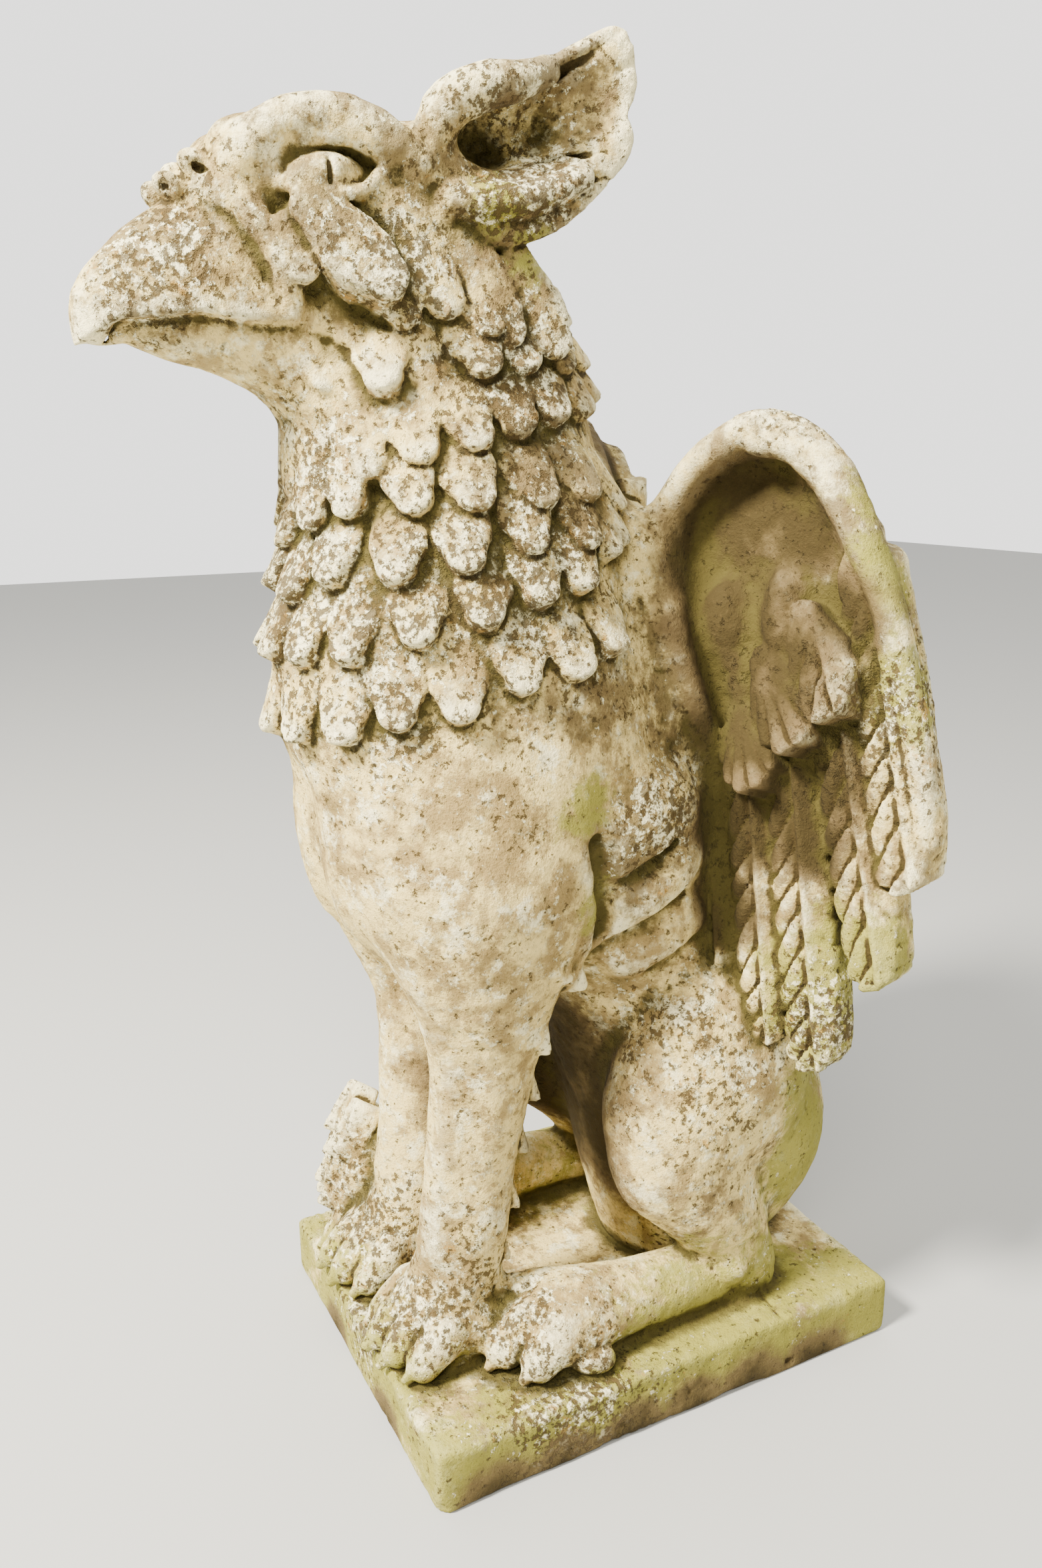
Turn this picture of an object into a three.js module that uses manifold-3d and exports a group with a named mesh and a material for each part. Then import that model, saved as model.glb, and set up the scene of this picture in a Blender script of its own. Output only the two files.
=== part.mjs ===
import * as THREE from 'three';
import { mergeVertices } from 'three/addons/utils/BufferGeometryUtils.js';
import Module from 'manifold-3d';

// A cast stone griffin, seated on its own slab. Millimetres, +Z up, the beak towards -Y,
// the figure's left side towards +X, the origin in the middle of the slab's underside.

// Driving sizes
const figureHeight = 811;
const plinthWidth = 277;
const plinthLength = 360;
const plinthHeight = 44;
const plinthCornerRadius = 9;
const plinthTopWear = 6;
const plinthFootWear = 3;
const bedding = 7;
const chipWidth = 30;
const chipDepth = 5;
const chipPlace = 62;

// The figure's pose and carving are given in thousandths of its own height, above the slab.
const share = figureHeight / 1000;
const spot = (x, y, z) => new THREE.Vector3(x * share, y * share, plinthHeight + z * share);
const beddingShare = -bedding / share;
const sides = [1, -1];

const wasm = await Module();
wasm.setup();

// A closed solid from its corners and triangles, turned the right way out.
function solidOf(points, faces) {
  let volume = 0;
  for (let i = 0; i < faces.length; i += 3) {
    const [a, b, c] = [points[faces[i]], points[faces[i + 1]], points[faces[i + 2]]];
    volume += a.dot(b.clone().cross(c));
  }
  const turned = volume < 0 ? faces.toReversed() : faces;
  return new wasm.Manifold(new wasm.Mesh({
    numProp: 3,
    vertProperties: new Float32Array(points.flatMap((point) => point.toArray())),
    triVerts: new Uint32Array(turned),
  }));
}

function middleOf(ring) {
  const sum = new THREE.Vector3();
  ring.forEach((point) => sum.add(point));
  return sum.divideScalar(ring.length);
}

// A skin over rings with equal numbers of corners, closed by a fan at each end, the last
// of them dished where its middle is given.
function loft(rings, endMiddle = middleOf(rings[rings.length - 1])) {
  const count = rings[0].length;
  const points = rings.flat();
  const faces = [];
  for (let row = 0; row < rings.length - 1; row += 1) {
    for (let i = 0; i < count; i += 1) {
      const a = row * count + i;
      const b = row * count + ((i + 1) % count);
      faces.push(a, b, b + count, a, b + count, a + count);
    }
  }
  const last = (rings.length - 1) * count;
  const footMiddle = points.push(middleOf(rings[0])) - 1;
  const headMiddle = points.push(endMiddle) - 1;
  for (let i = 0; i < count; i += 1) {
    const next = (i + 1) % count;
    faces.push(footMiddle, next, i, headMiddle, last + i, last + next);
  }
  return solidOf(points, faces);
}

// Rows of numbers with smooth rows put in between them.
function eased(rows, steps) {
  const fine = [];
  for (let i = 0; i < rows.length - 1; i += 1) {
    const before = rows[Math.max(i - 1, 0)];
    const after = rows[Math.min(i + 2, rows.length - 1)];
    for (let step = 0; step < steps; step += 1) {
      const t = step / steps;
      fine.push(rows[i].map((value, k) => {
        const next = rows[i + 1][k];
        const slopeIn = (next - before[k]) / 2;
        const slopeOut = (after[k] - value) / 2;
        const bend = value - next;
        return value + t * (slopeIn + t * (-3 * bend - 2 * slopeIn - slopeOut
          + t * (2 * bend + slopeIn + slopeOut)));
      }));
    }
  }
  fine.push(rows[rows.length - 1]);
  return fine;
}

// A round member through [x, y, z, half width, half depth], the width lying along hint.
function limb(rows, { hint = [1, 0, 0], corners = 8, steps = 1 } = {}) {
  const stations = eased(rows, steps);
  const centres = stations.map(([x, y, z]) => spot(x, y, z));
  const hintAxis = new THREE.Vector3(...hint);
  const rings = stations.map(([, , , halfWidth, halfDepth], i) => {
    const ahead = centres[Math.min(i + 1, centres.length - 1)];
    const behind = centres[Math.max(i - 1, 0)];
    const along = ahead.clone().sub(behind).normalize();
    const across = hintAxis.clone().addScaledVector(along, -hintAxis.dot(along)).normalize();
    const deep = along.clone().cross(across);
    return Array.from({ length: corners }, (_, k) => {
      const angle = (k / corners) * 2 * Math.PI;
      return centres[i].clone()
        .addScaledVector(across, Math.cos(angle) * halfWidth * share)
        .addScaledVector(deep, Math.sin(angle) * halfDepth * share);
    });
  });
  return loft(rings);
}

// A mass built up of level ovals: [height, middle in y, half width, half depth].
function stack(rows, corners, steps) {
  const rings = eased(rows, steps).map(([z, y, halfWidth, halfDepth]) => (
    Array.from({ length: corners }, (_, k) => {
      const angle = (k / corners) * 2 * Math.PI;
      return spot(Math.cos(angle) * halfWidth, y + Math.sin(angle) * halfDepth, z);
    })));
  return loft(rings);
}

// A rounded lump, turned by degrees about x, y and z.
function lump([x, y, z], [halfX, halfY, halfZ], turn = [0, 0, 0], detail = 8) {
  const geometry = new THREE.SphereGeometry(1, detail, Math.ceil(detail * 0.6));
  geometry.rotateX(Math.PI / 2);
  geometry.deleteAttribute('normal');
  geometry.deleteAttribute('uv');
  const merged = mergeVertices(geometry);
  merged.scale(halfX * share, halfY * share, halfZ * share);
  const angles = turn.map(THREE.MathUtils.degToRad);
  merged.applyMatrix4(new THREE.Matrix4().makeRotationFromEuler(new THREE.Euler(...angles)));
  merged.translate(...spot(x, y, z).toArray());
  const position = merged.getAttribute('position');
  const points = Array.from({ length: position.count }, (_, i) => (
    new THREE.Vector3().fromBufferAttribute(position, i)));
  return solidOf(points, Array.from(merged.index.array));
}

// A feather's outline as [share of its length, share of its half width].
const featherOutline = [[0.58, 1], [0.94, 0.5]];
const quillOutline = [[0.03, 0.66], [0.82, 1], [0.98, 0.42]];

// A domed leaf from its root, lying along down and facing out.
function leaf(root, down, out, { length, width, rise, sink, keel = 0, outline = featherOutline }) {
  const along = down.clone().normalize();
  const face = out.clone().addScaledVector(along, -out.dot(along)).normalize();
  const across = along.clone().cross(face);
  const place = (v, u, n) => root.clone()
    .addScaledVector(along, v * length * share)
    .addScaledVector(across, (u * width * share) / 2)
    .addScaledVector(face, n * share);
  const rim = [[0, 0], ...outline, ...outline.map(([v, u]) => [v, -u]).reverse()];
  const points = [
    ...rim.map(([v, u]) => place(v, u, rise * 0.55)),
    ...rim.map(([v, u]) => place(v, u, -sink)),
  ];
  const count = rim.length;
  const crown = points.push(place(0.66, 0, rise)) - 1;
  const under = points.push(place(0.66, 0, -sink - keel)) - 1;
  const faces = [];
  for (let i = 0; i < count; i += 1) {
    const next = (i + 1) % count;
    faces.push(i, next, crown, next + count, i + count, under);
    faces.push(i, i + count, next + count, i, next + count, next);
  }
  return solidOf(points, faces);
}

// Slab under the figure, its top edge and corners worn round.
function plinth() {
  const levels = [
    [0, plinthFootWear],
    [plinthFootWear, 0],
    [plinthHeight - plinthTopWear, 0],
    [plinthHeight, plinthTopWear],
  ];
  const perCorner = 3;
  const rings = levels.map(([z, inset]) => {
    const ring = [];
    [[1, 1], [-1, 1], [-1, -1], [1, -1]].forEach(([signX, signY], quarter) => {
      for (let k = 0; k < perCorner; k += 1) {
        const angle = (quarter + k / (perCorner - 1)) * (Math.PI / 2);
        const reachX = plinthWidth / 2 - plinthCornerRadius;
        const reachY = plinthLength / 2 - plinthCornerRadius;
        const radius = plinthCornerRadius - inset;
        ring.push(new THREE.Vector3(
          signX * reachX + radius * Math.cos(angle),
          signY * reachY + radius * Math.sin(angle),
          z,
        ));
      }
    });
    return ring;
  });
  return loft(rings);
}

// The broken corner of the patch on the slab's left long side.
function plinthChip() {
  const edge = plinthWidth / 2;
  const top = plinthHeight + bedding;
  const low = plinthHeight * 0.45;
  const points = [
    new THREE.Vector3(edge + bedding, chipPlace, top),
    new THREE.Vector3(edge + bedding, chipPlace + chipWidth, top),
    new THREE.Vector3(edge + bedding, chipPlace + chipWidth * 0.7, low),
    new THREE.Vector3(edge - chipDepth, chipPlace + chipWidth * 0.3, top),
    new THREE.Vector3(edge - chipDepth, chipPlace + chipWidth * 0.8, top),
    new THREE.Vector3(edge - chipDepth * 0.4, chipPlace + chipWidth * 0.65, low),
  ];
  const faces = [0, 1, 2, 3, 5, 4, 0, 3, 4, 0, 4, 1, 1, 4, 5, 1, 5, 2, 2, 5, 3, 2, 3, 0];
  return solidOf(points, faces);
}

// Level ovals of the body from the seat up into the head.
const bodyRows = [
  [beddingShare, 110, 70, 75],
  [70, 118, 106, 104],
  [150, 110, 115, 113],
  [230, 84, 109, 110],
  [310, 50, 102, 112],
  [370, -8, 110, 146],
  [430, -46, 121, 169],
  [500, -82, 129, 168],
  [560, -103, 129, 156],
  [620, -116, 123, 135],
  [690, -111, 104, 115],
  [760, -117, 87, 100],
  [830, -138, 73, 90],
  [900, -162, 60, 74],
];

const bodyFine = eased(bodyRows, 4);

// The body's oval at a height.
function ovalAt(height) {
  const above = bodyFine.findIndex(([z]) => z >= height);
  const [low, high] = [bodyFine[above - 1], bodyFine[above]];
  const t = (height - low[0]) / (high[0] - low[0]);
  return low.map((value, k) => value + (high[k] - value) * t);
}

// A place on the body's skin, its way out and its way down, by angle from the breast.
function onBody(angle, height) {
  const surface = (z) => {
    const [, y, halfWidth, halfDepth] = ovalAt(z);
    return [Math.sin(angle) * halfWidth, y - Math.cos(angle) * halfDepth, z];
  };
  const [, , halfWidth, halfDepth] = ovalAt(height);
  const here = spot(...surface(height));
  const down = here.clone().sub(spot(...surface(height + 12))).normalize();
  const level = new THREE.Vector3(
    Math.sin(angle) / halfWidth, -Math.cos(angle) / halfDepth, 0).normalize();
  const out = level.addScaledVector(down, -level.dot(down)).normalize();
  return { here, down, out };
}

// Rows of breast and neck feathers:
// [height of the tips at the side, slope, feathers, length, width, bare angle at the throat,
// angle past which the wings' roots cover the row]
const featherRows = [
  [562, 0.23, 14, 80, 60, 0, 120],
  [610, 0.23, 14, 74, 57, 0, 132],
  [656, 0.24, 13, 70, 54, 0, 160],
  [699, 0.26, 13, 66, 50, 0, 180],
  [740, 0.28, 12, 62, 48, 0, 180],
  [780, 0.31, 11, 62, 46, 58, 180],
];
const featherLean = 0.13;

function plumage() {
  return featherRows.flatMap(([height, slope, count, length, width, bare, hidden], row) => (
    Array.from({ length: count }, (_, k) => ((k + (row % 2) / 2) / count) * 2 * Math.PI)
      .filter((angle) => Math.cos(angle) < Math.cos(THREE.MathUtils.degToRad(bare))
        || bare === 0)
      .filter((angle) => Math.cos(angle) > Math.cos(THREE.MathUtils.degToRad(hidden)))
      .map((angle) => {
        const depth = ovalAt(height)[3];
        const tipHeight = height - slope * depth * Math.cos(angle);
        const { here, down, out } = onBody(angle, tipHeight + length * 0.5);
        const along = down.clone().addScaledVector(out, featherLean);
        const root = here.addScaledVector(along, (-length / 2) * share);
        return leaf(root, along, out, { length, width, rise: 13, sink: 10 });
      })));
}

// Beak and lower jaw: [y, top, bottom, half width], and the section that they share.
const upperBeak = [
  [-236, 912, 804, 54], [-280, 902, 805, 50], [-322, 877, 806, 40], [-352, 854, 805, 27],
  [-368, 836, 799, 16], [-376, 818, 794, 6],
];
const lowerJaw = [
  [-222, 812, 764, 45], [-270, 810, 773, 39], [-320, 810, 784, 27], [-348, 808, 794, 15],
];
const beakSection = [
  [0.86, -1], [1, -0.3], [0.7, 0.72], [0, 1], [-0.7, 0.72], [-1, -0.3], [-0.86, -1],
];

function beakPart(rows, upright) {
  return loft(rows.map(([y, top, bottom, halfWidth]) => beakSection.map(([u, v]) => (
    spot(u * halfWidth, y, (top + bottom) / 2 + (upright * v * (top - bottom)) / 2)))));
}

// Beak, cheeks, brow, eyes and the line of the mouth.
function head() {
  const middle = [
    lump([0, -178, 867], [68, 92, 72], [8, 0, 0], 10),
    lump([0, -232, 838], [50, 52, 78], [0, 0, 0], 7),
    beakPart(upperBeak, 1),
    beakPart(lowerJaw, -1),
    lump([0, -288, 888], [22, 20, 14], [-30, 0, 0], 6),
  ];
  const perSide = sides.flatMap((side) => [
    limb([
      [side * 34, -278, 886, 11, 11], [side * 50, -256, 914, 16, 16],
      [side * 60, -226, 928, 19, 18], [side * 68, -182, 919, 16, 15],
      [side * 60, -142, 908, 8, 8],
    ], { corners: 6 }),
    lump([side * 56, -220, 893], [17, 21, 16], [0, 0, 0], 7),
    lump([side * 30, -282, 886], [15, 17, 12], [0, 0, 0], 6),
    lump([side * 50, -216, 836], [27, 50, 36], [12, 0, 0], 8),
  ]);
  return [...middle, ...perSide];
}

// Cheek feathers behind the corner of the mouth: [x, y, z of the root, length, width]
const cheekFeathers = [
  [72, -226, 872, 72, 46],
  [70, -238, 836, 46, 34],
  [73, -184, 862, 68, 44],
  [71, -146, 864, 66, 42],
];

function cheeks() {
  return sides.flatMap((side) => cheekFeathers.map(([x, y, z, length, width]) => (
    leaf(
      spot(side * x, y, z),
      new THREE.Vector3(side * 0.02, 0.55, -0.8),
      new THREE.Vector3(side, 0.05, 0.1),
      { length, width, rise: 12, sink: 22 },
    ))));
}

// An ear's outline seen from the side, [y, z]
const earOutline = [
  [-150, 905], [-140, 957], [-104, 972], [-36, 997], [-20, 980],
  [-13, 940], [-24, 908], [-80, 866], [-128, 872],
];
const earFlare = 0.2;
const earFoot = 50;

function ear(side) {
  const cupX = (y) => earFoot + (y + 150) * earFlare;
  const outer = earOutline.map(([y, z]) => spot(side * (cupX(y) + 16), y, z));
  const inner = earOutline.map(([y, z]) => (
    spot(side * (cupX(y) - 18), y * 0.94 - 8, z * 0.94 + 54)));
  const shell = loft([inner, outer], spot(side * (earFoot - 8), -92, 922));
  const rim = limb([
    [side * 56, -156, 896, 12, 12], [side * 66, -148, 936, 17, 16],
    [side * 74, -116, 950, 16, 15], [side * 80, -84, 960, 12, 13], [side * 84, -54, 974, 7, 8],
  ], { corners: 7 });
  const tufts = [-20, 4].map((fan) => {
    const rise = Math.sin(THREE.MathUtils.degToRad(fan + 12));
    return limb([
      [side * 70, -108, 905 + fan * 0.3, 6, 8],
      [side * 90, -34, 912 + rise * 72 + fan * 0.3, 4, 5],
    ], { corners: 4 });
  });
  return [shell, rim, ...tufts];
}

// Front leg, [x, y, z, half width, half depth] from the shoulder to the paw.
const legRows = [
  [80, -124, 410, 58, 84],
  [77, -129, 345, 50, 66],
  [69, -128, 275, 38, 44],
  [62, -136, 190, 33, 36],
  [58, -146, 100, 33, 34],
  [54, -161, 40, 40, 42],
];
const farLegSetback = 11;

function frontLeg(side) {
  const back = side > 0 ? 0 : farLegSetback;
  const pawX = side > 0 ? 52 : -68;
  const rows = legRows.map(([x, y, z, halfWidth, halfDepth]) => (
    [side * x, y + back * Math.min(1, Math.max(0, (380 - z) / 110)), z, halfWidth, halfDepth]));
  const toes = [-36, -12, 13, 36].map((reach, i) => {
    const forward = [-190, -200, -199, -187][i];
    return limb([
      [pawX + reach * 0.8, -168, 26, 15, 18],
      [pawX + reach, forward, 24, 15, 19],
      [pawX + reach * 1.06, forward - 15, 12, 11, 13],
    ], { corners: 5 });
  });
  return [
    lump([side * 68, -130, 440], [69, 98, 112], [6, 0, 0], 10),
    limb(rows, { corners: 8 }),
    lump([pawX, -162, 22], [46, 44, 35], [0, 0, 0], 7),
    ...toes,
  ];
}

// Tufts at the elbow and locks of fur down the back of the leg: [y, z, length, width, x]
const legLocks = [
  [-72, 400, 76, 48, 100],
  [-82, 322, 62, 36, 84],
  [-90, 240, 56, 28, 69],
];

function fur(side) {
  const back = side > 0 ? 0 : farLegSetback;
  return legLocks.map(([y, z, length, width, x]) => leaf(
    spot(side * x, y + back - 12, z),
    new THREE.Vector3(side * 0.05, 0.22, -1),
    new THREE.Vector3(side * 0.75, 0.7, 0.1),
    { length, width, rise: 14, sink: 20 },
  ));
}

// Haunch, lower leg, heel and the long hind foot.
function hindLeg(side) {
  const toes = [[80, -106, -128], [106, -110, -136], [132, -98, -120]].map(([x, y, tip]) => limb([
    [side * (x * 0.7 + 33), -76, 30, 17, 20],
    [side * x, y, 30, 16, 21],
    [side * (x + 2), tip, 12, 10, 13],
  ], { corners: 5 }));
  return [
    lump([side * 98, 66, 206], [55, 97, 107], [-8, 0, 0], 11),
    lump([side * 100, 12, 176], [47, 60, 60], [0, 0, 0], 8),
    limb([
      [side * 106, 4, 146, 42, 50], [side * 110, 56, 100, 40, 46],
      [side * 104, 102, 24, 28, 31],
    ]),
    limb([
      [side * 104, 112, 16, 24, 24], [side * 110, 20, 21, 30, 30],
      [side * 111, -60, 32, 38, 35], [side * 108, -98, 24, 40, 30],
    ]),
    ...toes,
  ];
}

// Rump, and the tail that lies round the right side to a tuft by the right front paw.
function tail() {
  const rump = sides.map((side) => lump([side * 44, 138, 134], [78, 80, 102], [0, 0, 0], 9));
  const rope = limb([
    [-10, 192, 96, 26, 26], [-34, 206, 44, 20, 20], [-90, 186, 16, 16, 16],
    [-140, 142, 14, 15, 15], [-153, 60, 14, 14, 14], [-152, -50, 15, 15, 15],
    [-140, -128, 30, 18, 18], [-128, -160, 58, 24, 22],
  ], { hint: [0, 0, 1], corners: 6 });
  const tuft = [
    lump([-112, -168, 76], [27, 28, 60], [-24, 14, 0], 8),
    ...[[-138, -182, 104], [-120, -194, 86], [-134, -194, 60]]
      .map(([x, y, z]) => leaf(
        spot(x * 0.94, y + 16, z + 22),
        new THREE.Vector3(-0.22, -0.42, -0.9),
        new THREE.Vector3(-0.45, -0.85, 0.1),
        { length: 58, width: 24, rise: 10, sink: 18 },
      )),
  ];
  return [...rump, rope, ...tuft];
}

// Curved ridges of the ribs on each flank: [y at the top, z at the top, reach down]
const ribs = [[-46, 446, 62], [-16, 408, 62], [14, 366, 56]];

function ribCage(side) {
  return ribs.map(([y, z, reach]) => {
    const stops = [0, 0.5, 1].map((t) => {
      const level = z - reach * t * 0.75;
      const along = y + 62 * Math.sin(t * 1.5);
      const [, middle, halfWidth, halfDepth] = ovalAt(level);
      const offset = (along - middle) / halfDepth;
      const x = halfWidth * Math.sqrt(Math.max(0, 1 - offset * offset));
      const thick = 4 + 5 * Math.sin(Math.PI * (0.15 + t * 0.7));
      return [side * (x - 1), along, level, thick, thick];
    });
    return limb(stops, { corners: 4 });
  });
}

// The wing's own plane: a run out from the back, a height and a step towards the front.
const wingSweep = THREE.MathUtils.degToRad(17);
const wingRoot = [40, 60];
function wingPoint(side, run, height, step) {
  const x = wingRoot[0] + run * Math.cos(wingSweep) + step * Math.sin(wingSweep);
  const y = wingRoot[1] + run * Math.sin(wingSweep) - step * Math.cos(wingSweep);
  return [side * x, y, height];
}

// Edge of the wing's blade, [run, height]
const bladeEdge = [
  [-14, 640], [40, 686], [84, 716], [120, 720], [146, 698], [166, 656], [190, 606], [210, 554],
  [222, 500], [214, 456], [150, 430], [70, 400], [-14, 380],
];
// The roll along the top and the leading edge, [run, height, step, half width, half depth]
const archRows = [
  [-6, 632, 26, 16, 22],
  [26, 672, 32, 18, 22],
  [58, 708, 30, 20, 22],
  [94, 728, 24, 22, 22],
  [134, 710, 16, 22, 22],
  [160, 666, 12, 20, 20],
  [188, 610, 9, 17, 17],
  [208, 554, 4, 14, 13],
  [222, 500, 0, 12, 12],
  [224, 462, -4, 9, 10],
];
// Long flight feathers, [run and height of the root, run and height of the tip, width]
const quills = [
  [20, 520, 44, 268, 50],
  [58, 520, 92, 238, 52],
  [98, 530, 137, 240, 54],
  [142, 560, 189, 334, 54],
  [186, 600, 226, 440, 52],
];
// Short feathers that cover the quills' roots, [run and height of the tip, width, length]
const coverts = [[172, 556, 60, 78], [118, 522, 58, 70], [82, 488, 52, 62]];
// Rounded muscles of the wing's arm, [run, height, half run, half height]
const armLumps = [[62, 590, 32, 50], [112, 602, 26, 38]];

function wing(side) {
  const plane = (run, height, step) => spot(...wingPoint(side, run, height, step));
  const facing = (step) => new THREE.Vector3(
    side * step * Math.sin(wingSweep), -step * Math.cos(wingSweep), 0);
  const heading = (run, height) => new THREE.Vector3(
    side * run * Math.cos(wingSweep), run * Math.sin(wingSweep), height);
  const blade = loft([
    bladeEdge.map(([run, height]) => plane(run, height, -17)),
    bladeEdge.map(([run, height]) => plane(run, height, 3)),
  ]);
  const arch = limb(archRows.map(([run, height, step, halfWidth, halfDepth]) => (
    [...wingPoint(side, run, height, step), halfWidth, halfDepth])), {
    hint: [Math.sin(wingSweep) * side, -Math.cos(wingSweep), 0],
    corners: 7,
  });
  const rootMass = lump([side * 52, 44, 510], [46, 58, 170], [13, 0, 0], 8);
  const longFeathers = quills.map(([run, height, tipRun, tipHeight, width]) => {
    const length = Math.hypot(tipRun - run, tipHeight - height);
    return leaf(
      plane(run, height, -2),
      heading(tipRun - run, tipHeight - height),
      facing(1),
      { length, width, rise: 13, sink: 20, keel: 9, outline: quillOutline },
    );
  });
  const shortFeathers = coverts.map(([run, height, width, length]) => leaf(
    plane(run - length * 0.3, height + length * 0.95, 2),
    heading(length * 0.3, -length * 0.95).add(facing(8)),
    facing(1),
    { length, width, rise: 17, sink: 12 },
  ));
  const muscles = armLumps.map(([run, height, halfRun, halfHeight]) => lump(
    wingPoint(side, run, height, 4),
    [halfRun, 17, halfHeight],
    [0, 0, side * THREE.MathUtils.radToDeg(wingSweep)],
    6,
  ));
  return [
    blade, arch, rootMass, ...longFeathers, ...shortFeathers, ...muscles,
  ];
}

// Everything that was cast in one piece.
function casting() {
  const pieces = [
    stack(bodyRows, 14, 1),
    ...head(),
    ...cheeks(),
    ...plumage(),
    ...tail(),
    ...sides.flatMap((side) => [
      ...ear(side), ...frontLeg(side), ...fur(side), ...hindLeg(side), ...ribCage(side),
      ...wing(side),
    ]),
  ];
  const figure = pieces.reduce((whole, piece) => whole.add(piece));
  const slab = plinth().subtract(plinthChip());
  const floorGuard = new THREE.Box3(
    new THREE.Vector3(-plinthWidth, -plinthLength, plinthHeight - bedding),
    new THREE.Vector3(plinthWidth, plinthLength, plinthHeight + figureHeight * 2),
  );
  return figure.intersect(boxSolid(floorGuard)).add(slab);
}

function boxSolid(box) {
  const { min, max } = box;
  const ring = (z) => [[min.x, min.y], [max.x, min.y], [max.x, max.y], [min.x, max.y]]
    .map(([x, y]) => new THREE.Vector3(x, y, z));
  return loft([ring(min.z), ring(max.z)]);
}

function geometryOf(manifold) {
  const mesh = manifold.getMesh();
  const geometry = new THREE.BufferGeometry();
  geometry.setAttribute('position', new THREE.BufferAttribute(mesh.vertProperties, mesh.numProp));
  geometry.setIndex(new THREE.BufferAttribute(mesh.triVerts, 1));
  return geometry;
}

const castStone = new THREE.MeshStandardMaterial({ color: 0xc9bb94, roughness: 0.95, metalness: 0 });

const griffin = new THREE.Group();
const statue = new THREE.Mesh(geometryOf(casting()), castStone);
statue.name = 'griffin_statue';
griffin.add(statue);

export default griffin;
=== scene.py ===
import math
import bpy
import numpy as np
from mathutils import Matrix


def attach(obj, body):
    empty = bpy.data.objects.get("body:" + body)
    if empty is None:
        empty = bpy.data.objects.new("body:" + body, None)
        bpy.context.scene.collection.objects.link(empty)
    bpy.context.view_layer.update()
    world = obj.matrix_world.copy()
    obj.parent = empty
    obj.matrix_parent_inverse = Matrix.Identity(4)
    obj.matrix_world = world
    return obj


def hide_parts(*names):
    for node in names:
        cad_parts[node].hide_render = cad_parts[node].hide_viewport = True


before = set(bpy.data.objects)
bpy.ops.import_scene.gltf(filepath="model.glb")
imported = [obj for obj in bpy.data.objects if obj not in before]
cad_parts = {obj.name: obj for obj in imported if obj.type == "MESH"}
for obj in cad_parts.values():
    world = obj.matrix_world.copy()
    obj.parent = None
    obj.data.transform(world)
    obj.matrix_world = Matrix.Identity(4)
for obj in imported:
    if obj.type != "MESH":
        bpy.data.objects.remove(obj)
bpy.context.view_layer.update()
print("frame loaded")

# The figure is carved in thousandths of its own height, above the slab's top.
figure = {"height": 0.811, "slabTop": 0.044, "grain": 2.48, "quickGrain": 4.6}
share = figure["height"] / 1000
grain = figure["grain"]
blockLow = np.array([-290.0, -392.0, -66.0])
blockHigh = np.array([290.0, 240.0, 1018.0])
axes = [np.arange(blockLow[i], blockHigh[i], grain, dtype=np.float32) for i in range(3)]
stone = np.full([len(a) for a in axes], 40.0, dtype=np.float32)


# Part of the block that a box covers, with some room round it
def cut(boxLow, boxHigh, room):
    place = []
    for i in range(3):
        first = max(0, int((boxLow[i] - room - blockLow[i]) / grain))
        last = min(len(axes[i]), int((boxHigh[i] + room - blockLow[i]) / grain) + 2)
        place.append(slice(first, max(first, last)))
    x = axes[0][place[0]][:, None, None]
    y = axes[1][place[1]][None, :, None]
    z = axes[2][place[2]][None, None, :]
    return tuple(place), x, y, z


def softMin(a, b, blend):
    near = np.maximum(blend - np.abs(a - b), 0.0) / blend
    return np.minimum(a, b) - near * near * blend * 0.25


def softMax(a, b, blend):
    return -softMin(-a, -b, blend)


# Add a form to the block, with a fillet as wide as blend
def join(form, blend=6.0):
    boxLow, boxHigh, shape = form
    place, x, y, z = cut(boxLow, boxHigh, blend + 2 * grain)
    stone[place] = softMin(stone[place], shape(x, y, z), blend)


# Cut a form out of the block
def carve(form, blend=4.0):
    boxLow, boxHigh, shape = form
    place, x, y, z = cut(boxLow, boxHigh, blend + 2 * grain)
    stone[place] = softMax(stone[place], -shape(x, y, z), blend)


def unit(v):
    v = np.asarray(v, dtype=float)
    return v / np.linalg.norm(v)


def dot(offset, way):
    return sum(a * b for a, b in zip(offset, way))


# Smooth rows put in between rows of numbers
def eased(rows, steps):
    rows = [np.array(row, dtype=float) for row in rows]
    fine = []
    for i in range(len(rows) - 1):
        before, after = rows[max(i - 1, 0)], rows[min(i + 2, len(rows) - 1)]
        here, there = rows[i], rows[i + 1]
        slopeIn, slopeOut, bend = (there - before) / 2, (after - here) / 2, here - there
        for step in range(steps):
            t = step / steps
            fine.append(here + t * (slopeIn + t * (-3 * bend - 2 * slopeIn - slopeOut
                                                   + t * (2 * bend + slopeIn + slopeOut))))
    fine.append(rows[-1])
    return np.array(fine)


def turned(degrees):
    a, b, c = [math.radians(d) for d in degrees]
    aboutX = np.array([[1, 0, 0], [0, math.cos(a), -math.sin(a)], [0, math.sin(a), math.cos(a)]])
    aboutY = np.array([[math.cos(b), 0, math.sin(b)], [0, 1, 0], [-math.sin(b), 0, math.cos(b)]])
    aboutZ = np.array([[math.cos(c), -math.sin(c), 0], [math.sin(c), math.cos(c), 0], [0, 0, 1]])
    return aboutX @ aboutY @ aboutZ


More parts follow.
